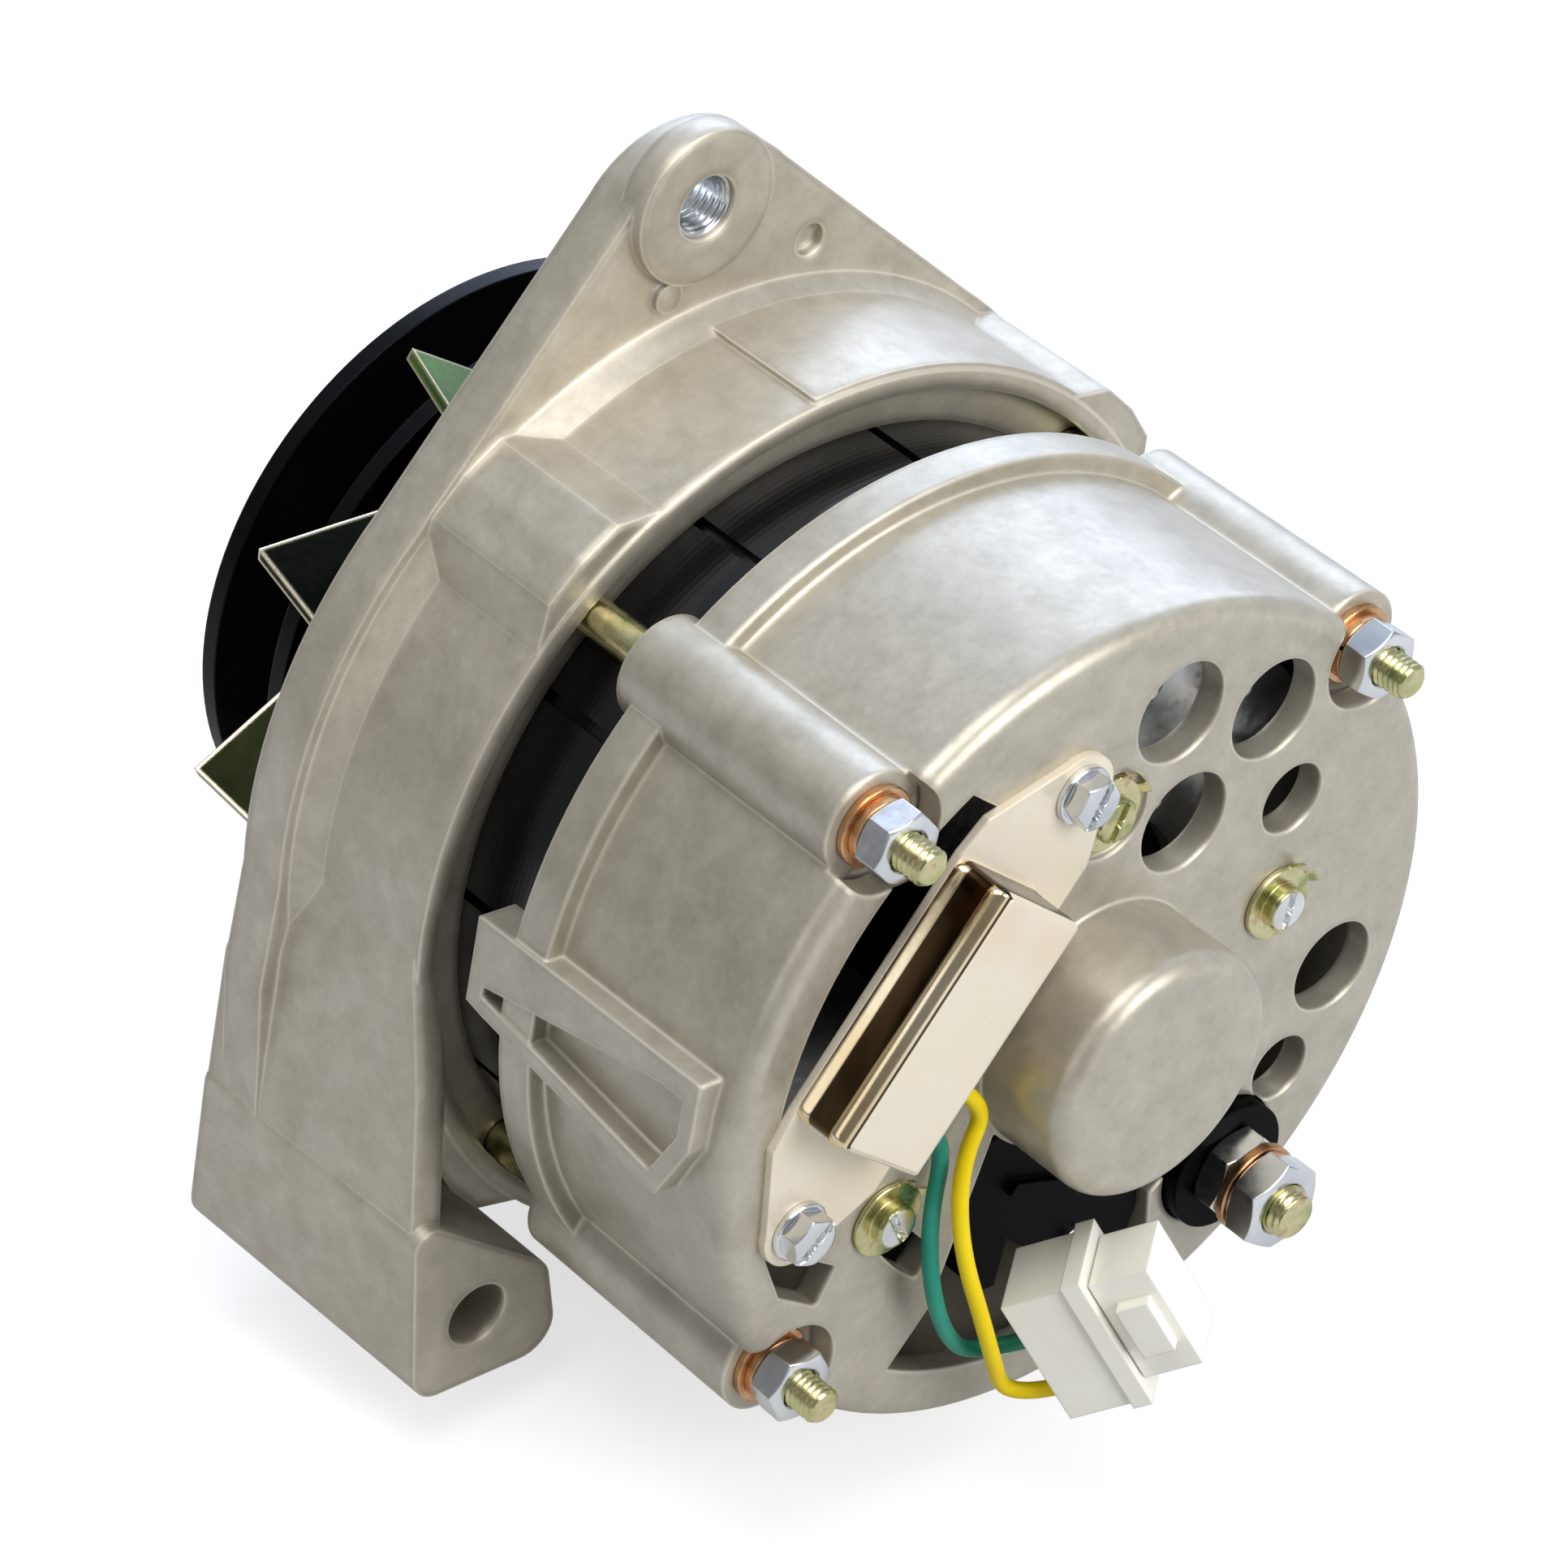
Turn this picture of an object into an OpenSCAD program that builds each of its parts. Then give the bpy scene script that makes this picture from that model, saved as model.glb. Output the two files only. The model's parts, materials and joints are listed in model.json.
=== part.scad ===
// Belt-driven automotive alternator, built as separate pieces.
// Modelling frame: rotor axis on Z, +Z towards the slip ring end, +Y up.
// Stations along the axis are distances in front of the rear face, so z = -station.

/* [Render] */
// node to show, or all

/* [Body] */
// outside radius of the laminated stator core
stator_r = 62; // [55:0.1:66]
// how far the slip ring end cup stands outside the stator core
cup_over = 5; // [4:0.1:9]
// rounding of the rear face's corner
face_corner = 3; // [1:0.5:6]
// length of the cup from the rear face to its front lip
cup_len = 45; // [35:0.5:55]
// height of the raised front lip
lip_rise = 3; // [1:0.5:6]
// width of the raised front lip
lip_w = 6.5; // [3:0.5:12]
// wall thickness of the cup
cup_wall = 3.6; // [2.5:0.1:6]
// thickness of the rear wall
rear_wall = 4.5; // [3:0.1:8]

/* [Drive end bracket] */
// station of the ring's open rear edge
ring_rear = 61.5; // [55:0.5:70]
// station where the ring meets the front plate
ring_front = 88; // [80:0.5:95]
// how far the ring stands outside the stator core
ring_over = 9.6; // [8:0.1:14]
// wall thickness of the ring
ring_wall = 3; // [2:0.1:5]
// how far the front plate stands outside the ring
plate_over = 4.4; // [2:0.1:9]
// station of the plate's front face
plate_front = 96.5; // [90:0.5:104]
// height of the bolt lands on the ring
land_rise = 4.2; // [2:0.1:8]
// radius of the round boss at the top lug
lug_r = 12.2; // [9:0.1:18]
// radius of the plate's rounded top
lug_root_r = 18.5; // [14:0.5:24]
// height of the lug centre above the rotor axis
lug_y = 92; // [80:0.5:110]
// sideways offset of the lug centre
lug_x = 3; // [-20:0.5:20]
// station of the lug boss face
lug_face = 86; // [75:0.5:92]
// tapping radius of the lug insert
lug_thread_r = 4.25; // [3:0.05:8]

/* [Pivot foot] */
// sideways position of the pivot bore from the rotor axis
pivot_x = -69; // [-90:0.5:-40]
// height of the pivot bore from the rotor axis
pivot_y = -54.5; // [-90:0.5:-30]
// radius of the pivot bore
pivot_r = 5.25; // [3:0.05:10]
// station of the foot's rear face
foot_rear = 54; // [45:0.5:70]
// station of the foot's front face
foot_front = 99; // [88:0.5:110]

/* [Through bolts] */
// radius of a through bolt
bolt_r = 3; // [2:0.1:5]
// station where the nuts seat on the rear bosses
nut_seat = 4.4; // [0:0.1:10]
// how far a bolt end stands behind its nut seat
bolt_out = 12.5; // [8:0.5:20]
// radius of the half round rear bosses
boss_r = 8.2; // [6:0.1:12]
// station of the front end of the half round bosses
boss_front = 48; // [40:0.5:58]

/* [Electrics] */
// radial depth of the laminated stator core
core_depth = 16; // [13:0.1:20]
// radius of the slip rings
slip_r = 14; // [9:0.1:18]
// radius of the rear bearing dome
dome_r = 20; // [16:0.5:26]
// how far the dome stands behind the rear face
dome_out = 16.5; // [8:0.5:24]
// radius of the output stud
stud_r = 4; // [2.5:0.1:6]

/* [Drive] */
// outside radius of the belt pulley
pulley_r = 51; // [28:0.5:60]
// radius that the fan blade tips reach
fan_r = 69; // [50:0.5:80]
// number of fan blades
fan_blades = 12; // [8:1:16]
// radius of the shaft in the drive bearing
shaft_r = 8.5; // [6:0.1:12]
// how far the brushes can follow as they wear
brush_travel = 4; // [2:0.5:6]

/* [Hidden] */
$fn = 96;
eps = 0.5;
fit_gap = 0.04;
bolt_gap = 0.35;
rotor_gap = 0.4;
stator_bore = stator_r - core_depth;
rotor_r = stator_bore - rotor_gap;
cup_r = stator_r + cup_over;
face_r = cup_r - face_corner;
lip_r = cup_r + lip_rise;
ring_r = stator_r + ring_over;
ring_in = ring_r - ring_wall;
plate_r = ring_r + plate_over;
land_r = ring_r + land_rise;
bolt_skip = 0.4;
bolt_circle = stator_r + bolt_r + bolt_skip;
bolt_head_h = 4;
bolt_angles = [124.5, 36, 212];
stud_pos = [27.4, -43];
lug_pos = [lug_x, lug_y];
pivot_pos = [pivot_x, pivot_y];
foot_mid = (foot_rear + foot_front) / 2;
seat_rear = 64.5;
core_front = 68.5;
core_rear = 41;
seat_in = stator_r + fit_gap;
seat_step = 3.5;
shoulder_r = stator_r - seat_step;
winding_gap = 1.5;
winding_in = 3;
winding_r0 = stator_bore + winding_in;
winding_r1 = shoulder_r - winding_gap;
winding_reach = 10.5;
slots = 36;
slot_w = 3.6;
slot_lip = 2.2;
core_back = 7;
core_bar_gap = 0.25;
hub_r = 28;
bearing_r = 20;
bearing_w = 12;
bearing_front = 98;
hub_front = 99;
rear_bearing_r = 16;
rear_shaft_r = 6;
rear_bearing_w = 10;
rear_bearing_z = 1.5;
ball_r = 3.2;
rear_ball_r = 2.8;
pole_front = 77;
pole_rear = 31;
pole_disc = 11;
claws = 6;
claw_thick = 8.5;
coil_gap = 4.1;
coil_r = rotor_r - claw_thick - coil_gap;
bobbin_t = 1.5;
core_hub_r = 17;
fan_rear = 102.5;
fan_t = 1.8;
blade_h = 14.5;
blade_lean = 4.6;
fan_disc_r = 45;
blade_len = 26;
blade_sweep = 27;
blade_start = 113.6;
pulley_back = 121.5;
pulley_mid = 131;
pulley_nose = 141;
groove_r = 35;
sheet_t = 3;
nut_h = 5;
pulley_nut_af = 24;
stud_nut_af = 13;
nut_af = 10;
washer_r = 6.2;
washer_t = 1.2;
spring_t = 1.5;
reg_angle = 45;
reg_mid = [-29.5, 19.8];
reg_l = 21;
reg_w0 = -5;
reg_w1 = 16;
reg_top = 10.3;
reg_t = 1.2;
reg_flange_t = 1.4;
reg_screw = 35.7;
brush_a = 135;
brush_w = 4.6;
brush_h = 6.4;
brush_len = 13;
brush_gap = 0.15;
slip_z = [-18.6, -10];
slip_w = 7;
ring_t = 2.5;
slip_hub_front = 24;
slip_hub_back = 5.5;
holder_r0 = 15.6;
holder_r1 = 37;
holder_half = 9;
holder_front = 23.5;
holder_back = 4.9;
holder_neck = 23.5;
crescent_in = 8.5;
crescent_r = cup_r - crescent_in;
dome_corner = 3;
screw_r = 2;
screw_head_r = 4.8;
tab_reach = 6.6;
screw_sink = 1;

// Placement and shape helpers

module row_frame() {
    translate([-pivot_x, -foot_mid, -pivot_y])
    rotate([90, 0, 0])
    children();
}

module polar(r, a) {
    rotate([0, 0, a]) translate([r, 0, 0]) children();
}

module bolts() {
    for (a = bolt_angles) polar(bolt_circle, a) children();
}

module rod(r, z0, z1) {
    translate([0, 0, z0]) cylinder(r = r, h = z1 - z0);
}

module tube(r0, r1, z0, z1) {
    translate([0, 0, z0]) difference() {
        cylinder(r = r1, h = z1 - z0);
        translate([0, 0, -eps]) cylinder(r = r0, h = z1 - z0 + 2 * eps);
    }
}

module sector(r0, r1, a0, a1, z0, z1) {
    rotate([0, 0, a0]) rotate_extrude(angle = a1 - a0)
    translate([r0, z0]) square([r1 - r0, z1 - z0]);
}

module block(x0, x1, y0, y1, z0, z1) {
    translate([x0, y0, z0]) cube([x1 - x0, y1 - y0, z1 - z0]);
}

module hexagon(af, z0, z1) {
    translate([0, 0, z0]) cylinder(d = af / cos(30), h = z1 - z0, $fn = 6);
}

function dir(a) = [cos(a), sin(a)];

// Swept round leads and coil springs

function unit(v) = v / norm(v);
function bez(p, t) = let (n = len(p) - 1, s = t * (n - 1), k = min(floor(s), n - 2), u = s - k,
    a = k == 0 ? p[0] : (p[k] + p[k + 1]) / 2,
    c = k == n - 2 ? p[n] : (p[k + 1] + p[k + 2]) / 2)
    (1 - u) * (1 - u) * a + 2 * u * (1 - u) * p[k + 1] + u * u * c;
function side_of(t) = unit(cross(t, [0, 0, 1]) + [0.0001, 0, 0]);

module sweep(path, r, sides) {
    n = len(path);
    pts = [for (i = [0:n - 1])
        let (t = unit(path[min(i + 1, n - 1)] - path[max(i - 1, 0)]),
             u = side_of(t), v = cross(t, u))
        for (j = [0:sides - 1])
            path[i] + r * (cos(360 * j / sides) * u + sin(360 * j / sides) * v)];
    faces = concat([[for (j = [0:sides - 1]) j]],
        [for (i = [0:n - 2]) for (j = [0:sides - 1])
            [i * sides + j, (i + 1) * sides + j, (i + 1) * sides + (j + 1) % sides,
             i * sides + (j + 1) % sides]],
        [[for (j = [sides - 1:-1:0]) (n - 1) * sides + j]]);
    polyhedron(points = pts, faces = faces, convexity = 4);
}

module coil(r, wire, turns, z0, z1) {
    steps = turns * 12;
    sweep([for (i = [0:steps])
        [r * cos(30 * i), r * sin(30 * i), z0 + wire + (z1 - z0 - 2 * wire) * i / steps]],
        wire, 6);
}

// Drive end bracket

lug_root = lug_pos + [0.9, -9.9];
lug_turn = atan2(lug_root[1], lug_root[0]);
lug_open = acos((plate_r - lug_root_r) / norm(lug_root));
boss_depth = 5;
insert_wall = 0.85;
retainer_angles = [30, 150, 270];
cove = 3;
dimple_pos = [23.5, 76.3];
pad_pos = [-3.4, 78.9];

module plate_outline() {
    circle(r = plate_r);
    translate(lug_root) circle(r = lug_root_r);
    polygon([
        (plate_r - 0.1) * dir(lug_turn + lug_open),
        lug_root + (lug_root_r - 0.1) * dir(lug_turn + lug_open),
        lug_root + (lug_root_r - 0.1) * dir(lug_turn - lug_open),
        (plate_r - 0.1) * dir(lug_turn - lug_open)
    ]);
    polygon([
        [-plate_r + 4, 22], [-plate_r - 4, -8], pivot_pos + [-14, 16], pivot_pos + [-14, 4],
        pivot_pos + [9, -8], [-plate_r / 2, -plate_r + 16]
    ]);
}

module bolt_land() {
    // flat-topped land with sloping flanks, set a little to one side of its bolt
    linear_extrude(ring_front - ring_rear - 0.4 + eps)
    polygon([
        (ring_in - 3) * dir(-12), (ring_r - 0.3) * dir(-14), land_r * dir(-8.5),
        (land_r + 0.4) * dir(-3), land_r * dir(2.5), (ring_r - 0.3) * dir(8), (ring_in - 3) * dir(6)
    ]);
}

module foot_outline(corner) {
    hull() {
        translate(pivot_pos + [8.5, -8.5]) circle(r = 5.5, $fn = 32);
        translate(pivot_pos + corner) circle(r = 5, $fn = 32);
        translate(pivot_pos + [7.5, -0.5]) circle(r = 6, $fn = 32);
        translate(pivot_pos + [-7.5, 18]) circle(r = 3, $fn = 32);
    }
}

module foot_lug() {
    hull() {
        translate([0, 0, -foot_rear - 1]) linear_extrude(1) foot_outline([-7, -6.5]);
        translate([-4, 5, -foot_front]) linear_extrude(1) foot_outline([-9.5, -3]);
    }
}

module foot_wall() {
    wall = 2.6;
    hull() {
        translate([-ring_r + 3, 9, -plate_front]) cylinder(r = wall, h = 34, $fn = 24);
        translate([-plate_r + 0.5, -9, -foot_front]) cylinder(r = wall, h = 1, $fn = 24);
        translate([-ring_r - 1, -13, -foot_rear - 5]) cylinder(r = wall, h = 1, $fn = 24);
    }
    hull() {
        translate([-plate_r + 0.5, -9, -foot_front]) cylinder(r = wall, h = 1, $fn = 24);
        translate([-ring_r - 1, -13, -foot_rear - 5]) cylinder(r = wall, h = 1, $fn = 24);
        translate(concat(pivot_pos + [-13, 16], [-foot_front])) cylinder(r = wall, h = 1, $fn = 24);
        translate(concat(pivot_pos + [-7, 20], [-foot_rear - 3])) cylinder(r = wall, h = 1, $fn = 24);
    }
}

module drive_end_bracket() color([0.70, 0.68, 0.63]) difference() {
    union() {
        difference() {
            union() {
                rod(ring_r, -ring_front - eps, -ring_rear);
                for (a = bolt_angles) rotate([0, 0, a]) translate([0, 0, -ring_front - eps]) bolt_land();
                translate([0, 0, -ring_front - eps])
                cylinder(r1 = ring_r + cove, r2 = ring_r - 0.2, h = cove * 1.5 + eps);
                sector(ring_in + 1, ring_r + 0.8, 41, 88, -ring_front - eps, -ring_rear - 0.7);
                translate([0, 0, -plate_front]) linear_extrude(plate_front - ring_front)
                plate_outline();
                foot_lug();
                foot_wall();
                translate(lug_pos) rod(lug_r, -lug_face - boss_depth, -lug_face);
                translate(pad_pos) rod(2.4, -ring_front - eps, -ring_front + 1.2);
            }
            rod(ring_in, -ring_front - 1, 0);
        }
        tube(shoulder_r, ring_in + eps, -core_front - 6, -seat_rear);
        bolts() rod(6.4, -ring_front - 1 - eps, -seat_rear);
        rod(hub_r + 1.5, -hub_front, -bearing_front + bearing_w);
        for (a = [0:60:300]) rotate([0, 0, a])
            block(hub_r, ring_in + eps, -3, 3, -ring_front - 1 - eps, -ring_front + 1.5);
    }
    rod(seat_in, -core_front, -ring_rear + eps);
    rod(shoulder_r, -ring_front + 4.2, -ring_rear + eps);
    rod(bearing_r + fit_gap, -bearing_front, 0);
    rod(bearing_r - 5.5, -hub_front - eps, 0);
    for (a = [0:60:300]) sector(hub_r + 4, shoulder_r - 1, a + 8, a + 52, -plate_front - eps, 0);
    bolts() rod(bolt_r + bolt_gap, -plate_front - eps, 0);
    translate(pivot_pos) rod(pivot_r, -foot_front - eps, -foot_rear + eps);
    translate(lug_pos) rod(lug_thread_r + insert_wall, -plate_front - eps, -lug_face + eps);
    translate(dimple_pos) rod(2.6, -ring_front - 1.8, -ring_front + eps);
    for (a = retainer_angles) polar(bearing_r + 4, a) rod(screw_r, -bearing_front + 2, 0);
}

module lug_thread_insert() color([0.75, 0.76, 0.78]) translate(lug_pos)
    tube(lug_thread_r, lug_thread_r + insert_wall - fit_gap / 2, -plate_front + 0.5, -lug_face - 0.8);

// Slip ring end bracket

module rear_opening() {
    // pocket that the brush holder drops through
    rotate([0, 0, brush_a]) intersection() {
        rod(crescent_r, -rear_wall - 4, eps);
        union() {
            block(31, crescent_r + 1, -22, 33, -rear_wall - 4, eps);
            block(22.5, 40, -10, 10, -rear_wall - 4, eps);
        }
    }
}

module terminal_window() {
    intersection() {
        rod(crescent_r, -rear_wall - 4, eps);
        translate([0, 0, -rear_wall - 4]) linear_extrude(rear_wall + 4 + eps)
        difference() {
            polygon([[-17.5, -11.5], [-29, -38], [-38, -46.5], [-34, -60], [14, -62], [14, -42],
                [18, -40], [31, -33], [30, -27], [18.8, -9.5]]);
            circle(r = dome_r + 0.6);
        }
    }
    translate(stud_pos) rod(10.9, -rear_wall - 4, eps + 3);
}

module cooling_holes() {
    for (h = [[15.5, 47.9, 8.1], [33.7, 38.9, 8.1], [17.1, 27.3, 8.1], [38.5, 20, 5.8],
              [49.3, -17.9, 7.6], [39.6, -32.3, 5.5]])
        translate([h[0], h[1], 0]) rod(h[2], -rear_wall - eps, eps);
    translate([0, 0, -rear_wall - eps]) linear_extrude(rear_wall + 2 * eps)
    polygon([[-59.5, -9.5], [-54, -12.2], [-46.6, -18.7], [-50.3, -24.2], [-57, -18.4]]);
    sector(38.5, 44, 207, 224, -rear_wall - eps, eps);
}

rectifier_pos = [[36.4, 2], [2.7, 36.3]];
pad_rise = 3.4;
block_screw_pos = [-37.6, -14.9];

module cup_solid() {
    rotate_extrude() difference() {
        union() {
            translate([0, -cup_len]) square([cup_r, cup_len - face_corner]);
            translate([0, -face_corner - eps]) square([face_r, face_corner + eps]);
            translate([face_r, -face_corner]) circle(r = face_corner, $fn = 48);
            translate([0, -cup_len]) square([lip_r, lip_w]);
            square([dome_r, dome_out - dome_corner]);
            square([dome_r - dome_corner, dome_out]);
            translate([dome_r - dome_corner, dome_out - dome_corner])
            circle(r = dome_corner, $fn = 48);
        }
        translate([-cup_r * 2, -cup_len * 2]) square([cup_r * 2, cup_len * 4]);
    }
}

module side_channel() {
    // raised pad with a channel that widens towards a closed end, drawn as [station, height]
    rotate([0, 0, 168]) difference() {
        translate([cup_r - cup_wall + 0.5, 0, 0]) rotate([0, 90, 0])
        linear_extrude(cup_wall - 0.5 + pad_rise)
        polygon([[52, -8.5], [4.5, -9.5], [4.5, 1.5], [9.5, 11.5], [48.5, 6.2], [52, 5.5]]);
        translate([cup_r - 1.2, 0, 0]) rotate([0, 90, 0]) linear_extrude(pad_rise + 3)
        polygon([[49, 1.6], [49, 3.4], [11.4, 8.6], [7.2, 0.5], [7.2, -5.6], [12, -5.6]]);
    }
}

module slip_ring_end_bracket() color([0.74, 0.71, 0.65]) difference() {
    union() {
        difference() {
            union() {
                cup_solid();
                bolts() rod(boss_r, -boss_front, -nut_seat);
                side_channel();
            }
            rod(cup_r - cup_wall, -cup_len - 10, -rear_wall);
        }
        tube(shoulder_r, cup_r - cup_wall + eps, -cup_len, -core_rear + 4);
        bolts() rod(6.2, -cup_len, -rear_wall + eps);
        for (p = rectifier_pos) translate(p) rod(4.5, -8, -rear_wall + eps);
        translate(block_screw_pos) rod(4, -rear_wall, -rear_wall + eps);
        for (s = [-1, 1]) reg_place(s * reg_screw, 0) rod(5, -10.5, -rear_wall + eps);
    }
    rod(seat_in, -cup_len - 10, -core_rear);
    rod(shoulder_r, -cup_len - 10, -core_rear + 4 + eps);
    bolts() rod(bolt_r + bolt_gap, -boss_front - eps, 0);
    bolts() rod(boss_r + 0.4, -nut_seat, eps);
    rod(rear_bearing_r + fit_gap, -rear_wall - eps, rear_bearing_z + rear_bearing_w);
    rod(rear_bearing_r - 4, 0, dome_out - 2.5);
    rear_opening();
    terminal_window();
    cooling_holes();
    for (p = rectifier_pos) translate(p) rod(screw_r + fit_gap, -10, eps);
    translate(rectifier_pos[1]) rod(tab_reach + 0.5, -screw_sink, eps);
    translate(block_screw_pos) rod(screw_r + fit_gap, -10, eps);
    for (s = [-1, 1]) reg_place(s * reg_screw, 0) rod(2.5, -9.5, eps);
}

// Stator

module slot_bars(grow, z0, z1) {
    for (i = [0:slots - 1]) rotate([0, 0, i * 360 / slots])
        block(stator_bore + slot_lip - grow, stator_r - core_back + grow,
            -slot_w / 2 - grow, slot_w / 2 + grow, z0, z1);
}

module stator_core() color([0.10, 0.10, 0.11]) difference() {
    tube(stator_bore, stator_r, -core_front, -core_rear);
    slot_bars(core_bar_gap, -core_front - eps, -core_rear + eps);
    for (i = [0:11]) rotate([0, 0, 16 + i * 30])
        block(stator_r - 1.2, stator_r + 1, -0.9, 0.9, -core_front - eps, -core_rear + eps);
}

module stator_winding() color([0.62, 0.30, 0.12]) {
    slot_bars(0, -core_front - eps - 1, -core_rear + eps + 1);
    for (side = [0, 1])
        rotate_extrude() translate([(winding_r0 + winding_r1) / 2,
            side == 0 ? -core_front - 0.6 - winding_reach / 2 : -core_rear + 0.6 + winding_reach / 2])
        difference() {
            square([winding_r1 - winding_r0, winding_reach], center = true);
            for (sx = [-1, 1]) for (sy = [-1, 1])
                translate([sx * (winding_r1 - winding_r0) / 2, sy * winding_reach / 2])
                rotate([0, 0, 45]) square(2.4, center = true);
        }
}

// Through bolts

module through_bolts() color([0.72, 0.62, 0.28]) bolts() {
    rod(bolt_r, -plate_front - eps, -nut_seat + bolt_out);
    hexagon(nut_af, -plate_front - bolt_head_h, -plate_front);
}

module bolt_washers() color([0.76, 0.55, 0.30]) bolts()
    tube(bolt_r + 0.2, washer_r, -nut_seat, -nut_seat + washer_t);

module bolt_spring_washers() color([0.72, 0.50, 0.28]) bolts()
    tube(bolt_r + 0.15, washer_r - 1, -nut_seat + washer_t, -nut_seat + washer_t + spring_t);

module bolt_nuts() color([0.80, 0.82, 0.84]) bolts() difference() {
    hexagon(nut_af, -nut_seat + washer_t + spring_t, -nut_seat + washer_t + spring_t + nut_h);
    rod(bolt_r + fit_gap, -nut_seat, nut_seat * 2);
}

// Bearings

module race(r0, r1, z0, z1, groove_r, groove) {
    rotate_extrude() difference() {
        translate([r0, z0]) square([r1 - r0, z1 - z0]);
        translate([groove_r, (z0 + z1) / 2]) circle(r = groove, $fn = 48);
    }
}

module balls(pitch, r, n, z) {
    for (i = [0:n - 1]) rotate([0, 0, i * 360 / n]) translate([pitch, 0, z]) sphere(r = r, $fn = 32);
}

module cage(pitch, r, n, z, w) {
    difference() {
        tube(pitch - 0.9, pitch + 0.9, z - w / 2, z + w / 2);
        for (i = [0:n - 1]) rotate([0, 0, i * 360 / n]) translate([pitch, 0, z])
            rotate([0, 90, 0]) cylinder(r = r + 0.12, h = 4, center = true);
    }
}

drive_pitch = (bearing_r + shaft_r) / 2;
rear_pitch = (rear_bearing_r + rear_shaft_r) / 2;
drive_mid = -bearing_front + bearing_w / 2;
rear_mid = rear_bearing_z + rear_bearing_w / 2;
race_in = 2.9;

module drive_bearing_outer() color([0.78, 0.79, 0.80])
    race(bearing_r - race_in, bearing_r, -bearing_front, -bearing_front + bearing_w,
        drive_pitch, ball_r + 0.03);

module drive_bearing_inner() color([0.78, 0.79, 0.80])
    race(shaft_r + fit_gap, shaft_r + race_in, -bearing_front, -bearing_front + bearing_w,
        drive_pitch, ball_r + 0.03);

module drive_bearing_balls() color([0.85, 0.86, 0.88]) balls(drive_pitch, ball_r, 8, drive_mid);

module drive_bearing_cage() color([0.55, 0.42, 0.20])
    cage(drive_pitch, ball_r, 8, drive_mid, 8.4);

module rear_bearing_outer() color([0.78, 0.79, 0.80])
    race(rear_bearing_r - 2.4, rear_bearing_r, rear_bearing_z, rear_bearing_z + rear_bearing_w,
        rear_pitch, rear_ball_r + 0.03);

module rear_bearing_inner() color([0.78, 0.79, 0.80])
    race(rear_shaft_r + fit_gap, rear_shaft_r + 2.4, rear_bearing_z,
        rear_bearing_z + rear_bearing_w, rear_pitch, rear_ball_r + 0.03);

module rear_bearing_balls() color([0.85, 0.86, 0.88])
    balls(rear_pitch, rear_ball_r, 8, rear_mid);

module rear_bearing_cage() color([0.55, 0.42, 0.20])
    cage(rear_pitch, rear_ball_r, 8, rear_mid, 7.2);

module bearing_retainer() color([0.66, 0.60, 0.40]) difference() {
    tube(shaft_r + 6.5, hub_r + 1, -bearing_front + bearing_w, -bearing_front + bearing_w + 2);
    for (a = retainer_angles) polar(bearing_r + 4, a) rod(screw_r + 0.2, -bearing_front, 0);
}

module retainer_screws() color([0.78, 0.79, 0.80])
    for (a = retainer_angles) polar(bearing_r + 4, a) {
        rod(screw_r - fit_gap, -bearing_front + 3, -bearing_front + bearing_w + 2 + eps);
        rod(3, -bearing_front + bearing_w + 2, -bearing_front + bearing_w + 4);
    }

// Rotor

module shaft_key() color([0.50, 0.51, 0.53])
    block(shaft_r - 2.5, shaft_r + 1.4, -2, 2, -pulley_mid - 6, -pulley_mid + 6);

module keyway(grow) {
    block(shaft_r - 2.5 - grow, shaft_r + 1.4 + grow, -2 - grow, 2 + grow,
        -pulley_mid - 6 - grow, -pulley_mid + 6 + grow);
}

module rotor_shaft() color([0.62, 0.63, 0.66]) difference() {
    union() {
        rod(shaft_r, -pulley_nose + 1, rear_bearing_z);
        rod(shaft_r - 0.5, -pulley_nose - 11, -pulley_nose + 1 + eps);
        rod(rear_shaft_r, 0, rear_bearing_z + rear_bearing_w + 0.5);
    }
    keyway(0.05);
}

module radial_prism(pts, r0, r1) {
    rotate([90, 0, 90]) translate([0, 0, r0]) linear_extrude(r1 - r0) polygon(pts);
}

module claw_set(root, tip, a0) {
    intersection() {
        tube(rotor_r - claw_thick, rotor_r, min(root, tip), max(root, tip));
        for (i = [0:claws - 1]) rotate([0, 0, a0 + i * 360 / claws])
            radial_prism([[-10.2, root], [10.2, root], [4.4, tip], [-4.4, tip]],
                rotor_r - claw_thick - 2, rotor_r + 2);
    }
}

module pole_blank(root, inner, a0) {
    lo = min(root, inner);
    hi = max(root, inner);
    difference() {
        union() {
            rod(rotor_r - claw_thick - 6, lo, hi);
            for (i = [0:claws - 1]) rotate([0, 0, a0 + i * 360 / claws])
                block(0, rotor_r - claw_thick + 1, -10, 10, lo, hi);
        }
        rod(shaft_r + fit_gap, lo - eps, hi + eps);
    }
}

module front_claw_pole() color([0.42, 0.43, 0.45]) {
    pole_blank(-pole_front, -pole_front + pole_disc, 0);
    claw_set(-pole_front, -pole_rear - 2, 0);
}

module rear_claw_pole() color([0.42, 0.43, 0.45]) {
    pole_blank(-pole_rear, -pole_rear - pole_disc, 180 / claws);
    claw_set(-pole_rear, -pole_front + 2, 180 / claws);
}

module rotor_core() color([0.42, 0.43, 0.45])
    tube(shaft_r + fit_gap, core_hub_r, -pole_front + pole_disc, -pole_rear - pole_disc);

module coil_bobbin() color([0.85, 0.80, 0.66]) {
    z0 = -pole_front + pole_disc;
    z1 = -pole_rear - pole_disc;
    tube(core_hub_r + fit_gap, core_hub_r + bobbin_t, z0, z1);
    tube(core_hub_r + fit_gap, coil_r, z0, z0 + bobbin_t);
    tube(core_hub_r + fit_gap, coil_r, z1 - bobbin_t, z1);
}

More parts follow.
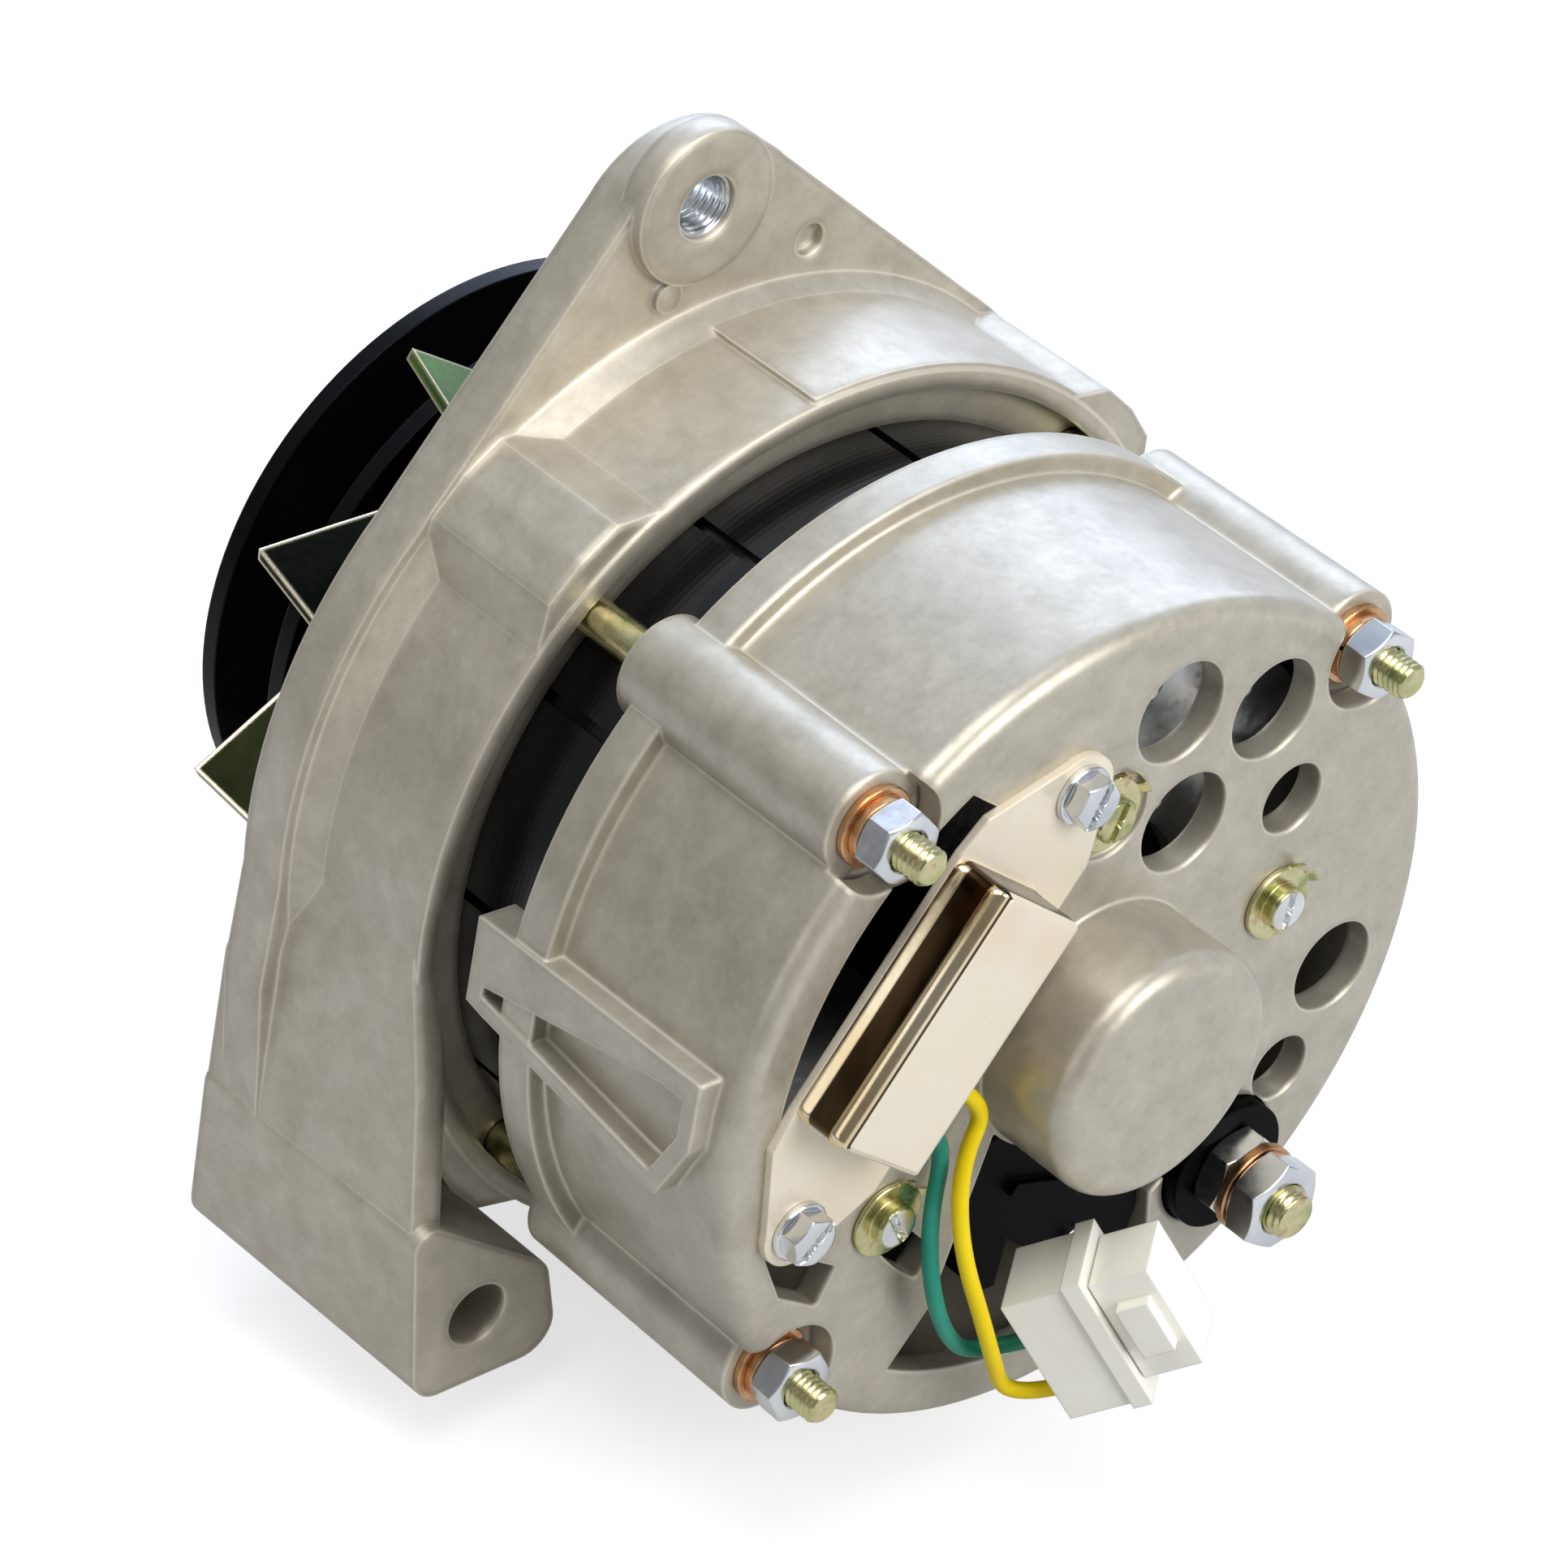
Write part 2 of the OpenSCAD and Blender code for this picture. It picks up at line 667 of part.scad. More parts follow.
module field_coil() color([0.62, 0.30, 0.12])
    tube(core_hub_r + bobbin_t + fit_gap, coil_r - 1.5, -pole_front + pole_disc + bobbin_t,
        -pole_rear - pole_disc - bobbin_t);

module slip_ring_hub() color([0.16, 0.12, 0.10])
    tube(shaft_r + fit_gap, slip_r - ring_t, -slip_hub_front, -slip_hub_back);

module slip_rings() color([0.78, 0.45, 0.25])
    for (z = slip_z) tube(slip_r - ring_t + fit_gap, slip_r, z - slip_w / 2, z + slip_w / 2);

module rotor_spacer() color([0.62, 0.63, 0.66])
    tube(shaft_r + fit_gap, shaft_r + 3.5, -bearing_front + bearing_w, -pole_front);

module fan_spacer() color([0.62, 0.63, 0.66])
    tube(shaft_r + fit_gap, shaft_r + 3.5, -fan_rear, -bearing_front);

module cooling_fan() color([0.66, 0.66, 0.38]) difference() {
    union() {
        rod(fan_disc_r, -fan_rear - fan_t, -fan_rear);
        for (i = [0:fan_blades - 1]) rotate([0, 0, blade_start + i * 360 / fan_blades])
        translate([fan_r, 0, 0]) rotate([0, 0, blade_sweep]) {
            rotate([90, 0, -90]) linear_extrude(blade_len)
            polygon([[fan_t, -fan_rear - blade_h], [0, -fan_rear - blade_h],
                [-blade_lean, -fan_rear], [fan_t - blade_lean, -fan_rear]]);
            translate([0, blade_lean - 0.4, -fan_rear - fan_t]) linear_extrude(fan_t)
            polygon([[-0.2, 0], [-blade_len, 0], [-blade_len - 8, 10], [-blade_len + 8, 14]]);
        }
    }
    rod(shaft_r + fit_gap, -fan_rear - fan_t - eps, -fan_rear + eps);
}

module pulley_spacer() color([0.10, 0.10, 0.11])
    tube(shaft_r + fit_gap, shaft_r + 7, -pulley_back, -fan_rear - fan_t);

module pulley_profile() {
    half = pulley_mid - pulley_back;
    rotate_extrude() polygon([
        [shaft_r + fit_gap, 0], [shaft_r + fit_gap, half - 2], [groove_r - 8, half - 3.5],
        [pulley_r - 3, half], [pulley_r, half], [pulley_r, half - sheet_t],
        [groove_r + 1.5, 2.6], [groove_r - 1, 0]
    ]);
}

module pulley_rear_half() color([0.05, 0.05, 0.06]) difference() {
    translate([0, 0, -pulley_mid]) pulley_profile();
    keyway(0.05);
}

module pulley_front_half() color([0.05, 0.05, 0.06]) difference() {
    translate([0, 0, -pulley_mid]) mirror([0, 0, 1]) pulley_profile();
    keyway(0.05);
}

pulley_face = -pulley_mid - (pulley_mid - pulley_back) + 2;

module pulley_washer() color([0.60, 0.61, 0.63])
    tube(shaft_r + fit_gap, shaft_r + 6, pulley_face - 2, pulley_face);

module pulley_nut() color([0.60, 0.61, 0.63]) difference() {
    hexagon(pulley_nut_af, pulley_face - 10, pulley_face - 2);
    rod(shaft_r - 0.5 + fit_gap, pulley_face - 12, pulley_face);
}

// Rectifier

diode_pos = [[15.5, 47.9], [33.7, 38.9], [17.1, 27.3], [38.5, 20], [49.3, -17.9], [39.6, -32.3]];
plate_top = -11;
plate_gap = 10;
plate_thick = 3;
sink_r0 = dome_r + 8;
sink_r1 = shoulder_r - winding_gap;

module heat_sink(top, start) {
    difference() {
        sector(sink_r0, sink_r1, start, 94, top - plate_thick, top);
        for (p = rectifier_pos) translate(p) rod(screw_r + bolt_gap, top - plate_thick - eps, top + eps);
        reg_place(reg_screw, 0) rod(5.6, top - plate_thick - eps, top + eps);
    }
}

module positive_heat_sink() color([0.72, 0.73, 0.75]) difference() {
    heat_sink(plate_top, -66);
    translate(stud_pos) rod(stud_r + fit_gap, plate_top - plate_thick - eps, plate_top + eps);
}

module negative_heat_sink() color([0.72, 0.73, 0.75])
    heat_sink(plate_top - plate_gap, -44);

module rectifier_diodes() color([0.55, 0.56, 0.58])
    for (p = diode_pos) translate(p) {
        rod(4, plate_top, plate_top + 3.5);
        rod(1, plate_top + 3, plate_top + 5.5);
    }

module rectifier_spacers() color([0.45, 0.20, 0.12])
    for (p = rectifier_pos) translate(p) {
        tube(screw_r + fit_gap, 4.5, plate_top, -8);
        tube(screw_r + fit_gap, 4.5, plate_top - plate_gap, plate_top - plate_thick);
    }

rail_end = plate_top - plate_gap - plate_thick - 2;

module tabbed_screws() color([0.74, 0.74, 0.50]) {
    translate(rectifier_pos[0]) tabbed_screw(rail_end, 0);
    translate(rectifier_pos[1]) tabbed_screw(rail_end, -screw_sink);
    translate(block_screw_pos) tabbed_screw(block_rear - block_depth, 0);
}

module tabbed_screw(end, seat) {
    rod(screw_r, end, seat + 2);
    translate([0, 0, seat]) difference() {
        union() {
            rod(screw_head_r, 0, 0.9);
            rotate([0, 0, 40]) block(3.5, tab_reach, -1.5, 1.5, 0, 0.9);
            rod(3, 0.8, 3);
        }
        block(-4, 4, -0.5, 0.5, 2, 4);
    }
}

// Regulator and brushes

module reg_place(l, w) {
    translate(reg_mid) rotate([0, 0, reg_angle]) translate([l, w, 0]) children();
}

module rounded_plan(x0, x1, y0, y1, r, z0, z1) {
    translate([0, 0, z0]) linear_extrude(z1 - z0) union() {
        translate([x0 + r, y0]) square([x1 - x0 - 2 * r, y1 - y0]);
        translate([x0, y0 + r]) square([x1 - x0, y1 - y0 - 2 * r]);
        for (x = [x0 + r, x1 - r]) for (y = [y0 + r, y1 - r])
            translate([x, y]) circle(r = r, $fn = 32);
    }
}

module regulator_base() color([0.86, 0.78, 0.64]) reg_place(0, 0) difference() {
    linear_extrude(reg_flange_t) union() {
        polygon([
            [-reg_l, reg_w1], [-reg_l - 6, reg_w1 - 1], [-reg_screw - 3, 5.1],
            [-reg_screw - 3, -5.1], [-reg_l - 6, -11], [reg_l + 6, -11], [reg_screw + 3, -5.1],
            [reg_screw + 3, 5.1], [reg_l + 6, reg_w1 - 1], [reg_l, reg_w1]
        ]);
        for (s = [-1, 1]) translate([s * reg_screw, 0]) circle(r = 6);
    }
    for (s = [-1, 1]) translate([s * reg_screw, 0, 0]) rod(2.5 + bolt_gap, -eps, reg_flange_t + eps);
}

module regulator_case() color([0.88, 0.80, 0.66]) reg_place(0, 0) difference() {
    rounded_plan(-reg_l, reg_l, reg_w0, reg_w1, 1.5, reg_flange_t, reg_top);
    rounded_plan(-reg_l + reg_t, reg_l - reg_t, reg_w0 + reg_t, reg_w1 - reg_t, 0.5,
        reg_flange_t - eps, reg_top - reg_t);
}

module regulator_screws() color([0.80, 0.81, 0.83])
    for (s = [-1, 1]) reg_place(s * reg_screw, 0) difference() {
        union() {
            rod(2.5 - fit_gap, -8.5, reg_flange_t + eps);
            rod(4.6, reg_flange_t, reg_flange_t + 1);
            rotate([0, 0, s * 12]) hexagon(7, reg_flange_t, reg_flange_t + 4);
        }
        rotate([0, 0, 50]) block(-5, 5, -0.6, 0.6, reg_flange_t + 3, reg_flange_t + 5);
    }

module brush_frame() {
    rotate([0, 0, brush_a]) children();
}

brush_back = slip_r + 0.05 + brush_len;
spring_solid = 4.15;
pocket_end = brush_back + brush_travel + spring_solid;

module brush_holder() color([0.10, 0.09, 0.09]) brush_frame() difference() {
    union() {
        block(holder_r0, holder_r1, -holder_half, holder_half, -holder_front, -holder_back);
        block(holder_neck, holder_r1, -holder_half, holder_half, -holder_back - eps, -0.02);
    }
    for (z = slip_z)
        block(holder_r0 - eps, pocket_end, -brush_h / 2 - brush_gap, brush_h / 2 + brush_gap,
            z - brush_w / 2 - brush_gap, z + brush_w / 2 + brush_gap);
}

module brush(z) {
    difference() {
        block(slip_r - 1, brush_back, -brush_h / 2, brush_h / 2, z - brush_w / 2, z + brush_w / 2);
        rod(slip_r + 0.05, z - brush_w, z + brush_w);
    }
}

module inner_brush() color([0.22, 0.20, 0.20]) brush_frame() brush(slip_z[0]);
module outer_brush() color([0.22, 0.20, 0.20]) brush_frame() brush(slip_z[1]);

module brush_spring(z) {
    translate([0, 0, z]) rotate([0, 90, 0]) coil(1.5, 0.25, 5, brush_back + 0.03, pocket_end - 0.03);
}

module inner_brush_spring() color([0.78, 0.79, 0.80]) brush_frame() brush_spring(slip_z[0]);
module outer_brush_spring() color([0.78, 0.79, 0.80]) brush_frame() brush_spring(slip_z[1]);

// Terminal block and output stud

block_face = -1.5;
block_rear = -4.54;
block_depth = 4;

module terminal_block() color([0.07, 0.07, 0.08]) difference() {
    union() {
        translate([0, 0, block_rear - block_depth])
        linear_extrude(block_face - block_rear + block_depth)
        polygon([
            [-17.6, -14.5], [-22, -24], [-18, -43], [-15, -43.5], [-12.8, -35.6], [-6, -43],
            [-4, -47], [9, -53.5], [12.8, -45], [13, -40.8], [20, -36], [29.5, -32],
            [28.4, -28], [19, -11]
        ]);
        translate(stud_pos) rod(10.5, plate_top, stud_seat);
        sector(23, 46, 190, 232, block_rear - block_depth + 0.4, block_rear);
        translate([0, 0, block_face - 0.5]) linear_extrude(1.7)
        polygon([[-13.5, -26], [-12, -24.5], [12.5, -36.5], [12.5, -38.5]]);
    }
    rod(dome_r + 0.9, -20, 20);
    translate(stud_pos) rod(stud_r + fit_gap, plate_top - eps, 3);
    translate(block_screw_pos) rod(screw_r + bolt_gap, -10, 0);
    translate([-0.3, -43.3, 0]) rod(1.6 + fit_gap, -20, 20);
}

module terminal_rivet() color([0.80, 0.78, 0.70]) translate([-0.3, -43.3, 0]) {
    rod(1.6, block_rear - block_depth - 0.5, block_face + 0.5);
    rod(2.4, block_face, block_face + 1);
}

stud_seat = 2.5;
stud_nut_h = 5;
stud_outer_h = 5.5;
stud_nut_end = stud_seat + stud_nut_h + spring_t + stud_outer_h;
stud_tip = 2.5;
stud_step = 0.6;

module output_stud() color([0.80, 0.70, 0.42]) translate(stud_pos) {
    rod(stud_r, plate_top - plate_thick - eps, stud_nut_end);
    rod(stud_r - stud_step, stud_nut_end - eps, stud_nut_end + stud_tip);
    hexagon(stud_nut_af, plate_top - plate_thick - 4, plate_top - plate_thick);
}

module stud_nut(z0, h) {
    difference() {
        hexagon(stud_nut_af, z0, z0 + h);
        rod(stud_r + fit_gap, z0 - eps, z0 + h + eps);
    }
}

module stud_inner_nut() color([0.80, 0.81, 0.83]) translate(stud_pos) stud_nut(stud_seat, stud_nut_h);
module stud_spring_washer() color([0.76, 0.50, 0.28]) translate(stud_pos)
    tube(stud_r + 0.15, 7.2, stud_seat + stud_nut_h, stud_seat + stud_nut_h + spring_t);
module stud_outer_nut() color([0.80, 0.81, 0.83]) translate(stud_pos)
    rotate([0, 0, 20]) stud_nut(stud_nut_end - stud_outer_h, stud_outer_h);

// Leads and their connector pair

lead_r = 1.25;
lead_gap = 0.06;
plug_at = [-26.2, -31, 12];
plug_axis = unit([12.5, 10.9, 15.2]);
plug_side = unit(cross([10.5, -0.5, -8.3], plug_axis));
plug_deep = cross(plug_axis, plug_side);
plug_w = 22;
plug_h = 13;
plug_l = 13;
mate_l = 9.5;

function plug_point(u, v, w) = plug_at + u * plug_axis + v * plug_side + w * plug_deep;
function case_point(l, out, z) = concat(reg_mid
    + l * dir(reg_angle) + (reg_w0 - out) * dir(reg_angle + 90), [z]);

yellow_path = [
    case_point(-8, lead_gap, 4), case_point(-8, 3.5, 4), [-25, 3, 4], [-23.6, -1, 4.3],
    [-26.5, -4.1, 5], [-28.8, -8.2, 6], [-30.4, -13.9, 7.5], [-30.3, -22.2, 9],
    [-28.8, -31.6, 10.8], [-26.6, -42, 11.4], [-24.4, -49, 10.8],
    plug_point(-4, 0.82 * plug_w, 3), plug_point(-lead_gap, 0.82 * plug_w, 3)
];
green_path = [
    case_point(-15, lead_gap, 4), case_point(-15, 3.5, 4), [-30, -2.5, 2.6], [-29.2, -8.2, 2.2],
    [-31.2, -13, 3], [-33, -18.8, 4.2], [-33.6, -26.8, 5.6], [-32, -35.6, 6.3],
    [-28.2, -42.5, 6.5], plug_point(-4, 0.48 * plug_w, 5.5),
    plug_point(-lead_gap, 0.48 * plug_w, 5.5)
];

module lead(p) {
    sweep([for (i = [0:56]) bez(p, i / 56)], lead_r, 8);
}

module yellow_lead() color([0.93, 0.78, 0.05]) lead(yellow_path);
module green_lead() color([0.16, 0.60, 0.50]) lead(green_path);

module plug_frame() {
    multmatrix([
        [plug_axis[0], plug_side[0], plug_deep[0], plug_at[0]],
        [plug_axis[1], plug_side[1], plug_deep[1], plug_at[1]],
        [plug_axis[2], plug_side[2], plug_deep[2], plug_at[2]],
        [0, 0, 0, 1]
    ]) children();
}

module lead_connector() color([0.93, 0.92, 0.88]) plug_frame() difference() {
    union() {
        block(0, plug_l, 0, plug_w, 0, plug_h);
        block(plug_l - 3, plug_l, -1, plug_w + 0.6, -0.6, plug_h + 0.6);
    }
    block(plug_l - 7, plug_l + 1, 2, plug_w - 4, 2, plug_h - 2);
}

module lead_connector_mate() color([0.95, 0.94, 0.90]) plug_frame() {
    block(plug_l - 6, plug_l + 1, 2.3, plug_w - 4.3, 2.3, plug_h - 2.3);
    block(plug_l + 0.3, plug_l + mate_l, 1, plug_w - 3, 1, plug_h - 1);
    block(plug_l + 3, plug_l + mate_l - 1.5, 5, plug_w - 8, -1.2, 1 + eps);
}

row_frame() {
    drive_end_bracket();
    lug_thread_insert();
    slip_ring_end_bracket();
    stator_core();
    stator_winding();
    through_bolts();
    bolt_washers();
    bolt_spring_washers();
    bolt_nuts();
    drive_bearing_outer();
    drive_bearing_balls();
    drive_bearing_cage();
    drive_bearing_inner();
    bearing_retainer();
    retainer_screws();
    rear_bearing_outer();
    rear_bearing_balls();
    rear_bearing_cage();
    rear_bearing_inner();
    rotor_shaft();
    front_claw_pole();
    rear_claw_pole();
    rotor_core();
    field_coil();
    coil_bobbin();
    slip_ring_hub();
    slip_rings();
    rotor_spacer();
    fan_spacer();
    cooling_fan();
    pulley_spacer();
    pulley_rear_half();
    pulley_front_half();
    pulley_washer();
    pulley_nut();
    shaft_key();
    positive_heat_sink();
    negative_heat_sink();
    rectifier_diodes();
    rectifier_spacers();
    tabbed_screws();
    regulator_base();
    regulator_case();
    regulator_screws();
    brush_holder();
    inner_brush();
    outer_brush();
    inner_brush_spring();
    outer_brush_spring();
    terminal_block();
    terminal_rivet();
    output_stud();
    stud_inner_nut();
    stud_spring_washer();
    stud_outer_nut();
    yellow_lead();
    green_lead();
    lead_connector();
    lead_connector_mate();
}
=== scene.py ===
# %% [markdown]
# # Alternator
# This lesson dresses the CAD model of a small belt-driven alternator: two aluminium castings round
# a black laminated stator, a fan and pulley in front, and a regulator with its leads on the rear.
# The visible shapes could be modelled again from nothing, but then they could drift away from the
# CAD. So the CAD model is loaded first, every solid of it stays where it is, and this file adds
# materials and the small forms that a CAD solid leaves out. Everything is in metres in the part's
# own frame: +Y runs along the rotor axis to the pulley, +Z is up, and the pivot bore is the origin.

# %% Load the frame
import json
import math
import bmesh
import bpy
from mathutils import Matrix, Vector


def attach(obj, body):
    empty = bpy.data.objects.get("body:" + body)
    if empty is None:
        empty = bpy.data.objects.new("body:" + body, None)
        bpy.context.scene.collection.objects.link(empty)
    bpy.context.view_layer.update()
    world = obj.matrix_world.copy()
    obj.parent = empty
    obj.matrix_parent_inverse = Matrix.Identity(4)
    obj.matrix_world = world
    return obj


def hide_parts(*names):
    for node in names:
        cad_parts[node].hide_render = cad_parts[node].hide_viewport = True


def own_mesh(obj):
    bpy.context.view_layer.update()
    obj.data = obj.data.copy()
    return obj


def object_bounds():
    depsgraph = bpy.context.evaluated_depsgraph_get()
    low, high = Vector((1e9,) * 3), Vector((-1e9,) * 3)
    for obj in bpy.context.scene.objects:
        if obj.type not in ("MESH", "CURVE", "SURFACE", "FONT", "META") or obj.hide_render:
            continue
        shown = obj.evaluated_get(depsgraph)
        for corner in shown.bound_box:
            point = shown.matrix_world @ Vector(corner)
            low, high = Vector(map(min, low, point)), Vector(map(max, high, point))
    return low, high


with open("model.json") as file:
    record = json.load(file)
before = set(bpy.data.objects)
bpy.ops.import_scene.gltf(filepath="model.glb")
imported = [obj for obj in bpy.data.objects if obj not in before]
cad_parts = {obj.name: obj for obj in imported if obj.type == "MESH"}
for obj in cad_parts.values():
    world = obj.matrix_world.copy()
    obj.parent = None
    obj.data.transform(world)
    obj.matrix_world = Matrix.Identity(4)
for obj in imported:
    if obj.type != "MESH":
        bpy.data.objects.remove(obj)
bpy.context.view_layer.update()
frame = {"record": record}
scene = bpy.context.scene

# %% [markdown]
# ## Two frames
# The CAD drawings use a turned frame: x to the right and y up as seen from the slip ring end, and
# z towards the viewer, from the flat rear face. The pieces could be drawn straight in metres, but
# then no number would match the drawing. So they keep the drawing's millimetres, and `at` turns
# such a point into the part's frame.

# %% Frame helpers
AXIS_X = 0.069
REAR_Y = -0.0765
AXIS_Z = 0.0545
MM = 1000


def at(x, y, z):
    """A point of the drawing, in mm, as metres in the part's frame."""
    return Vector((AXIS_X + x / MM, REAR_Y - z / MM, AXIS_Z + y / MM))


# %% [markdown]
# ## Camera
# A camera can be placed by eye, or worked out from shapes whose true form is known. The rear face,
# the dome and the circle of the bolts are true circles, so the ellipses that they make in the
# photograph give the camera's place, its direction and its focal length, here in pixels.

# %% Camera
SENSOR = 36.0
FOCAL_PIXELS = 7757
PHOTO_PIXELS = 1932
LOOK = Vector((0.49645, 0.58504, -0.64130))
cam_data = bpy.data.cameras.new("photo_camera")
cam_data.sensor_width = SENSOR
cam_data.lens = SENSOR * FOCAL_PIXELS / PHOTO_PIXELS
cam = bpy.data.objects.new("photo_camera", cam_data)
scene.collection.objects.link(cam)
cam.location = (-0.3900, -0.5514, 0.6489)
cam.rotation_mode = "QUATERNION"
cam.rotation_quaternion = LOOK.to_track_quat("-Z", "Y")
scene.camera = cam
print("lens", round(cam_data.lens, 1), "mm")

# %% [markdown]
# ## The ends of the leads
# Two insulated leads, one yellow and one green, leave the long wall of the regulator can and enter
# the white connector. Both ends could be read off the picture, but the leads have to meet the CAD
# solids. So two helpers give a place on the can and one on the connector, in the drawing's frame.

# %% The ends of the leads
HALF_ROOT = math.sqrt(0.5)
REG_MID = Vector((-29.5, 19.8))
REG_WALL = -5.0
PLUG_AT = Vector((-26.2, -31, 12))
PLUG_AXIS = Vector((12.5, 10.9, 15.2)).normalized()
PLUG_SIDE = Vector((10.5, -0.5, -8.3)).cross(PLUG_AXIS).normalized()
PLUG_DEEP = PLUG_AXIS.cross(PLUG_SIDE)
PLUG_WIDTH = 22.0
LEAD_GAP = 0.06
LEAD_R = 1.25


def case_plan(along, out):
    """A place in the regulator's own plan: along its length, and across it."""
    return (REG_MID.x + (along - out) * HALF_ROOT, REG_MID.y + (along + out) * HALF_ROOT)


def case_point(along, out, z):
    """A point that stands `out` from the can's lower wall, `along` its length, at height z."""
    return Vector((*case_plan(along, REG_WALL - out), z))


def plug_point(u, v, w):
    """A point in the connector's own axes: out of its face, across it, and through it."""
    return PLUG_AT + u * PLUG_AXIS + v * PLUG_SIDE + w * PLUG_DEEP


# %% [markdown]
# ## The leads
# A lead bends freely between two stiff ends. It could be a cable that is left to fall by a
# simulation, but the photograph shows where it lies. So a few points are chosen along the picture's
# route and joined by smooth arcs, and a curve with a round bevel follows them.

# %% The leads
LEAD_STEPS = 56
SOCKETS = {"yellow": (0.82, 3), "green": (0.48, 5.5)}


def curve_point(p, t):
    """A smooth curve of quadratic arcs through the middles of the given points."""
    n = len(p) - 1
    s = t * (n - 1)
    k = min(int(s), n - 2)
    u = s - k
    a = p[0] if k == 0 else (p[k] + p[k + 1]) / 2
    c = p[n] if k == n - 2 else (p[k + 1] + p[k + 2]) / 2
    return (1 - u) ** 2 * a + 2 * u * (1 - u) * p[k + 1] + u * u * c


def route(colour, along, middle):
    """The chosen points from the can's wall to the connector's face, with a straight start and end."""
    share, deep = SOCKETS[colour]
    start = [case_point(along, LEAD_GAP, 4), case_point(along, 3.5, 4)]
    end = [plug_point(-out, share * PLUG_WIDTH, deep) for out in (4, LEAD_GAP)]
    return start + [Vector(v) for v in middle] + end


YELLOW = route("yellow", -8, [
    (-25, 3, 4), (-23.6, -1, 4.3), (-26.5, -4.1, 5), (-28.8, -8.2, 6), (-30.4, -13.9, 7.5),
    (-30.3, -22.2, 9), (-28.8, -31.6, 10.8), (-26.6, -42, 11.4), (-24.4, -49, 10.8)])
GREEN = route("green", -15, [
    (-30, -2.5, 2.6), (-29.2, -8.2, 2.2), (-31.2, -13, 3), (-33, -18.8, 4.2),
    (-33.6, -26.8, 5.6), (-32, -35.6, 6.3), (-28.2, -42.5, 6.5)])


def make_lead(name, points, node):
    pts = [at(*curve_point(points, i / LEAD_STEPS)) for i in range(LEAD_STEPS + 1)]
    data = bpy.data.curves.new(name, "CURVE")
    data.dimensions = "3D"
    # the depth is multiplied by each point's radius, which holds the lead's own
    data.bevel_depth = 1.0
    data.bevel_resolution = 6
    data.use_fill_caps = True
    line = data.splines.new("POLY")
    line.points.add(len(pts) - 1)
    for p, v in zip(line.points, pts):
        p.co = (*v, 1)
        p.radius = LEAD_R / MM
    line.use_smooth = True
    obj = bpy.data.objects.new(name, data)
    scene.collection.objects.link(obj)
    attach(obj, "housing")
    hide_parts(node)
    return obj


leads = [make_lead("yellow_flex", YELLOW, "yellow_lead"),
         make_lead("green_flex", GREEN, "green_lead")]

# %% [markdown]
# ## Materials
# A finish can be a photograph wrapped on a mesh, or worked out from numbers in a small node graph.
# The graph is used here: it needs no picture files and no UVs, and it stays sharp at any distance.
# It reads the object's own coordinates, so a piece keeps its pattern when it turns. `noise` gives a
# soft field, `ramp` colours it, and `relief` turns it into a bump.

# %% Node helpers
WHITE = (1, 1, 1, 1)


def grey(v):
    return (v, v, v)


def new_material(name):
    m = bpy.data.materials.new(name)
    m.use_nodes = True
    nt = m.node_tree
    return m, nt, nt.nodes["Principled BSDF"]


def noise(nt, scale, detail=3.0, rough=0.5):
    """A soft field from 0 to 1. The scale is in lumps a metre, as everything is in metres."""
    tc = nt.nodes.new("ShaderNodeTexCoord")
    tex = nt.nodes.new("ShaderNodeTexNoise")
    tex.inputs["Scale"].default_value = scale
    tex.inputs["Detail"].default_value = detail
    tex.inputs["Roughness"].default_value = rough
    nt.links.new(tc.outputs["Object"], tex.inputs["Vector"])
    return tex.outputs["Fac"]


def ramp(nt, fac, stops):
    """Colours between stops of (place, colour), picked by a value from 0 to 1."""
    r = nt.nodes.new("ShaderNodeValToRGB")
    elements = r.color_ramp.elements
    while len(elements) < len(stops):
        elements.new(0.5)
    for e, (place, colour) in zip(elements, stops):
        e.position = place
        e.color = (*colour, 1)
    nt.links.new(fac, r.inputs["Fac"])
    return r.outputs["Color"]


def relief(nt, fac, strength, distance, below=None):
    """A bump of a height in metres, on top of the normals that come in from below."""
    b = nt.nodes.new("ShaderNodeBump")
    b.inputs["Strength"].default_value = strength
    b.inputs["Distance"].default_value = distance
    nt.links.new(fac, b.inputs["Height"])
    if below is not None:
        nt.links.new(below, b.inputs["Normal"])
    return b.outputs["Normal"]


def tinted(nt, mask, plain, tint):
    """Colour that turns from `plain` to `tint` as the mask goes from 0 to 1."""
    mix = nt.nodes.new("ShaderNodeMix")
    mix.data_type = "RGBA"
    nt.links.new(mask, mix.inputs["Factor"])
    nt.links.new(plain, mix.inputs["A"])
    mix.inputs["B"].default_value = (*tint, 1)
    return mix.outputs["Result"]


# %% [markdown]
# ## Edges
# No real edge is quite sharp: it is a little round. Rounding every
# edge of the CAD solids with real faces would change them, so the Bevel node bends the shading
# normal near an edge instead. Compared with the true normal, it also tells where an edge is, and
# that is where a painted highlight is laid along the edge.

# %% Edges and spots
BEVEL_SAMPLES = 6
EDGE_NEAR, EDGE_FAR = 0.90, 0.985


def soft_edges(nt, radius):
    b = nt.nodes.new("ShaderNodeBevel")
    b.samples = BEVEL_SAMPLES
    b.inputs["Radius"].default_value = radius
    return b.outputs["Normal"]


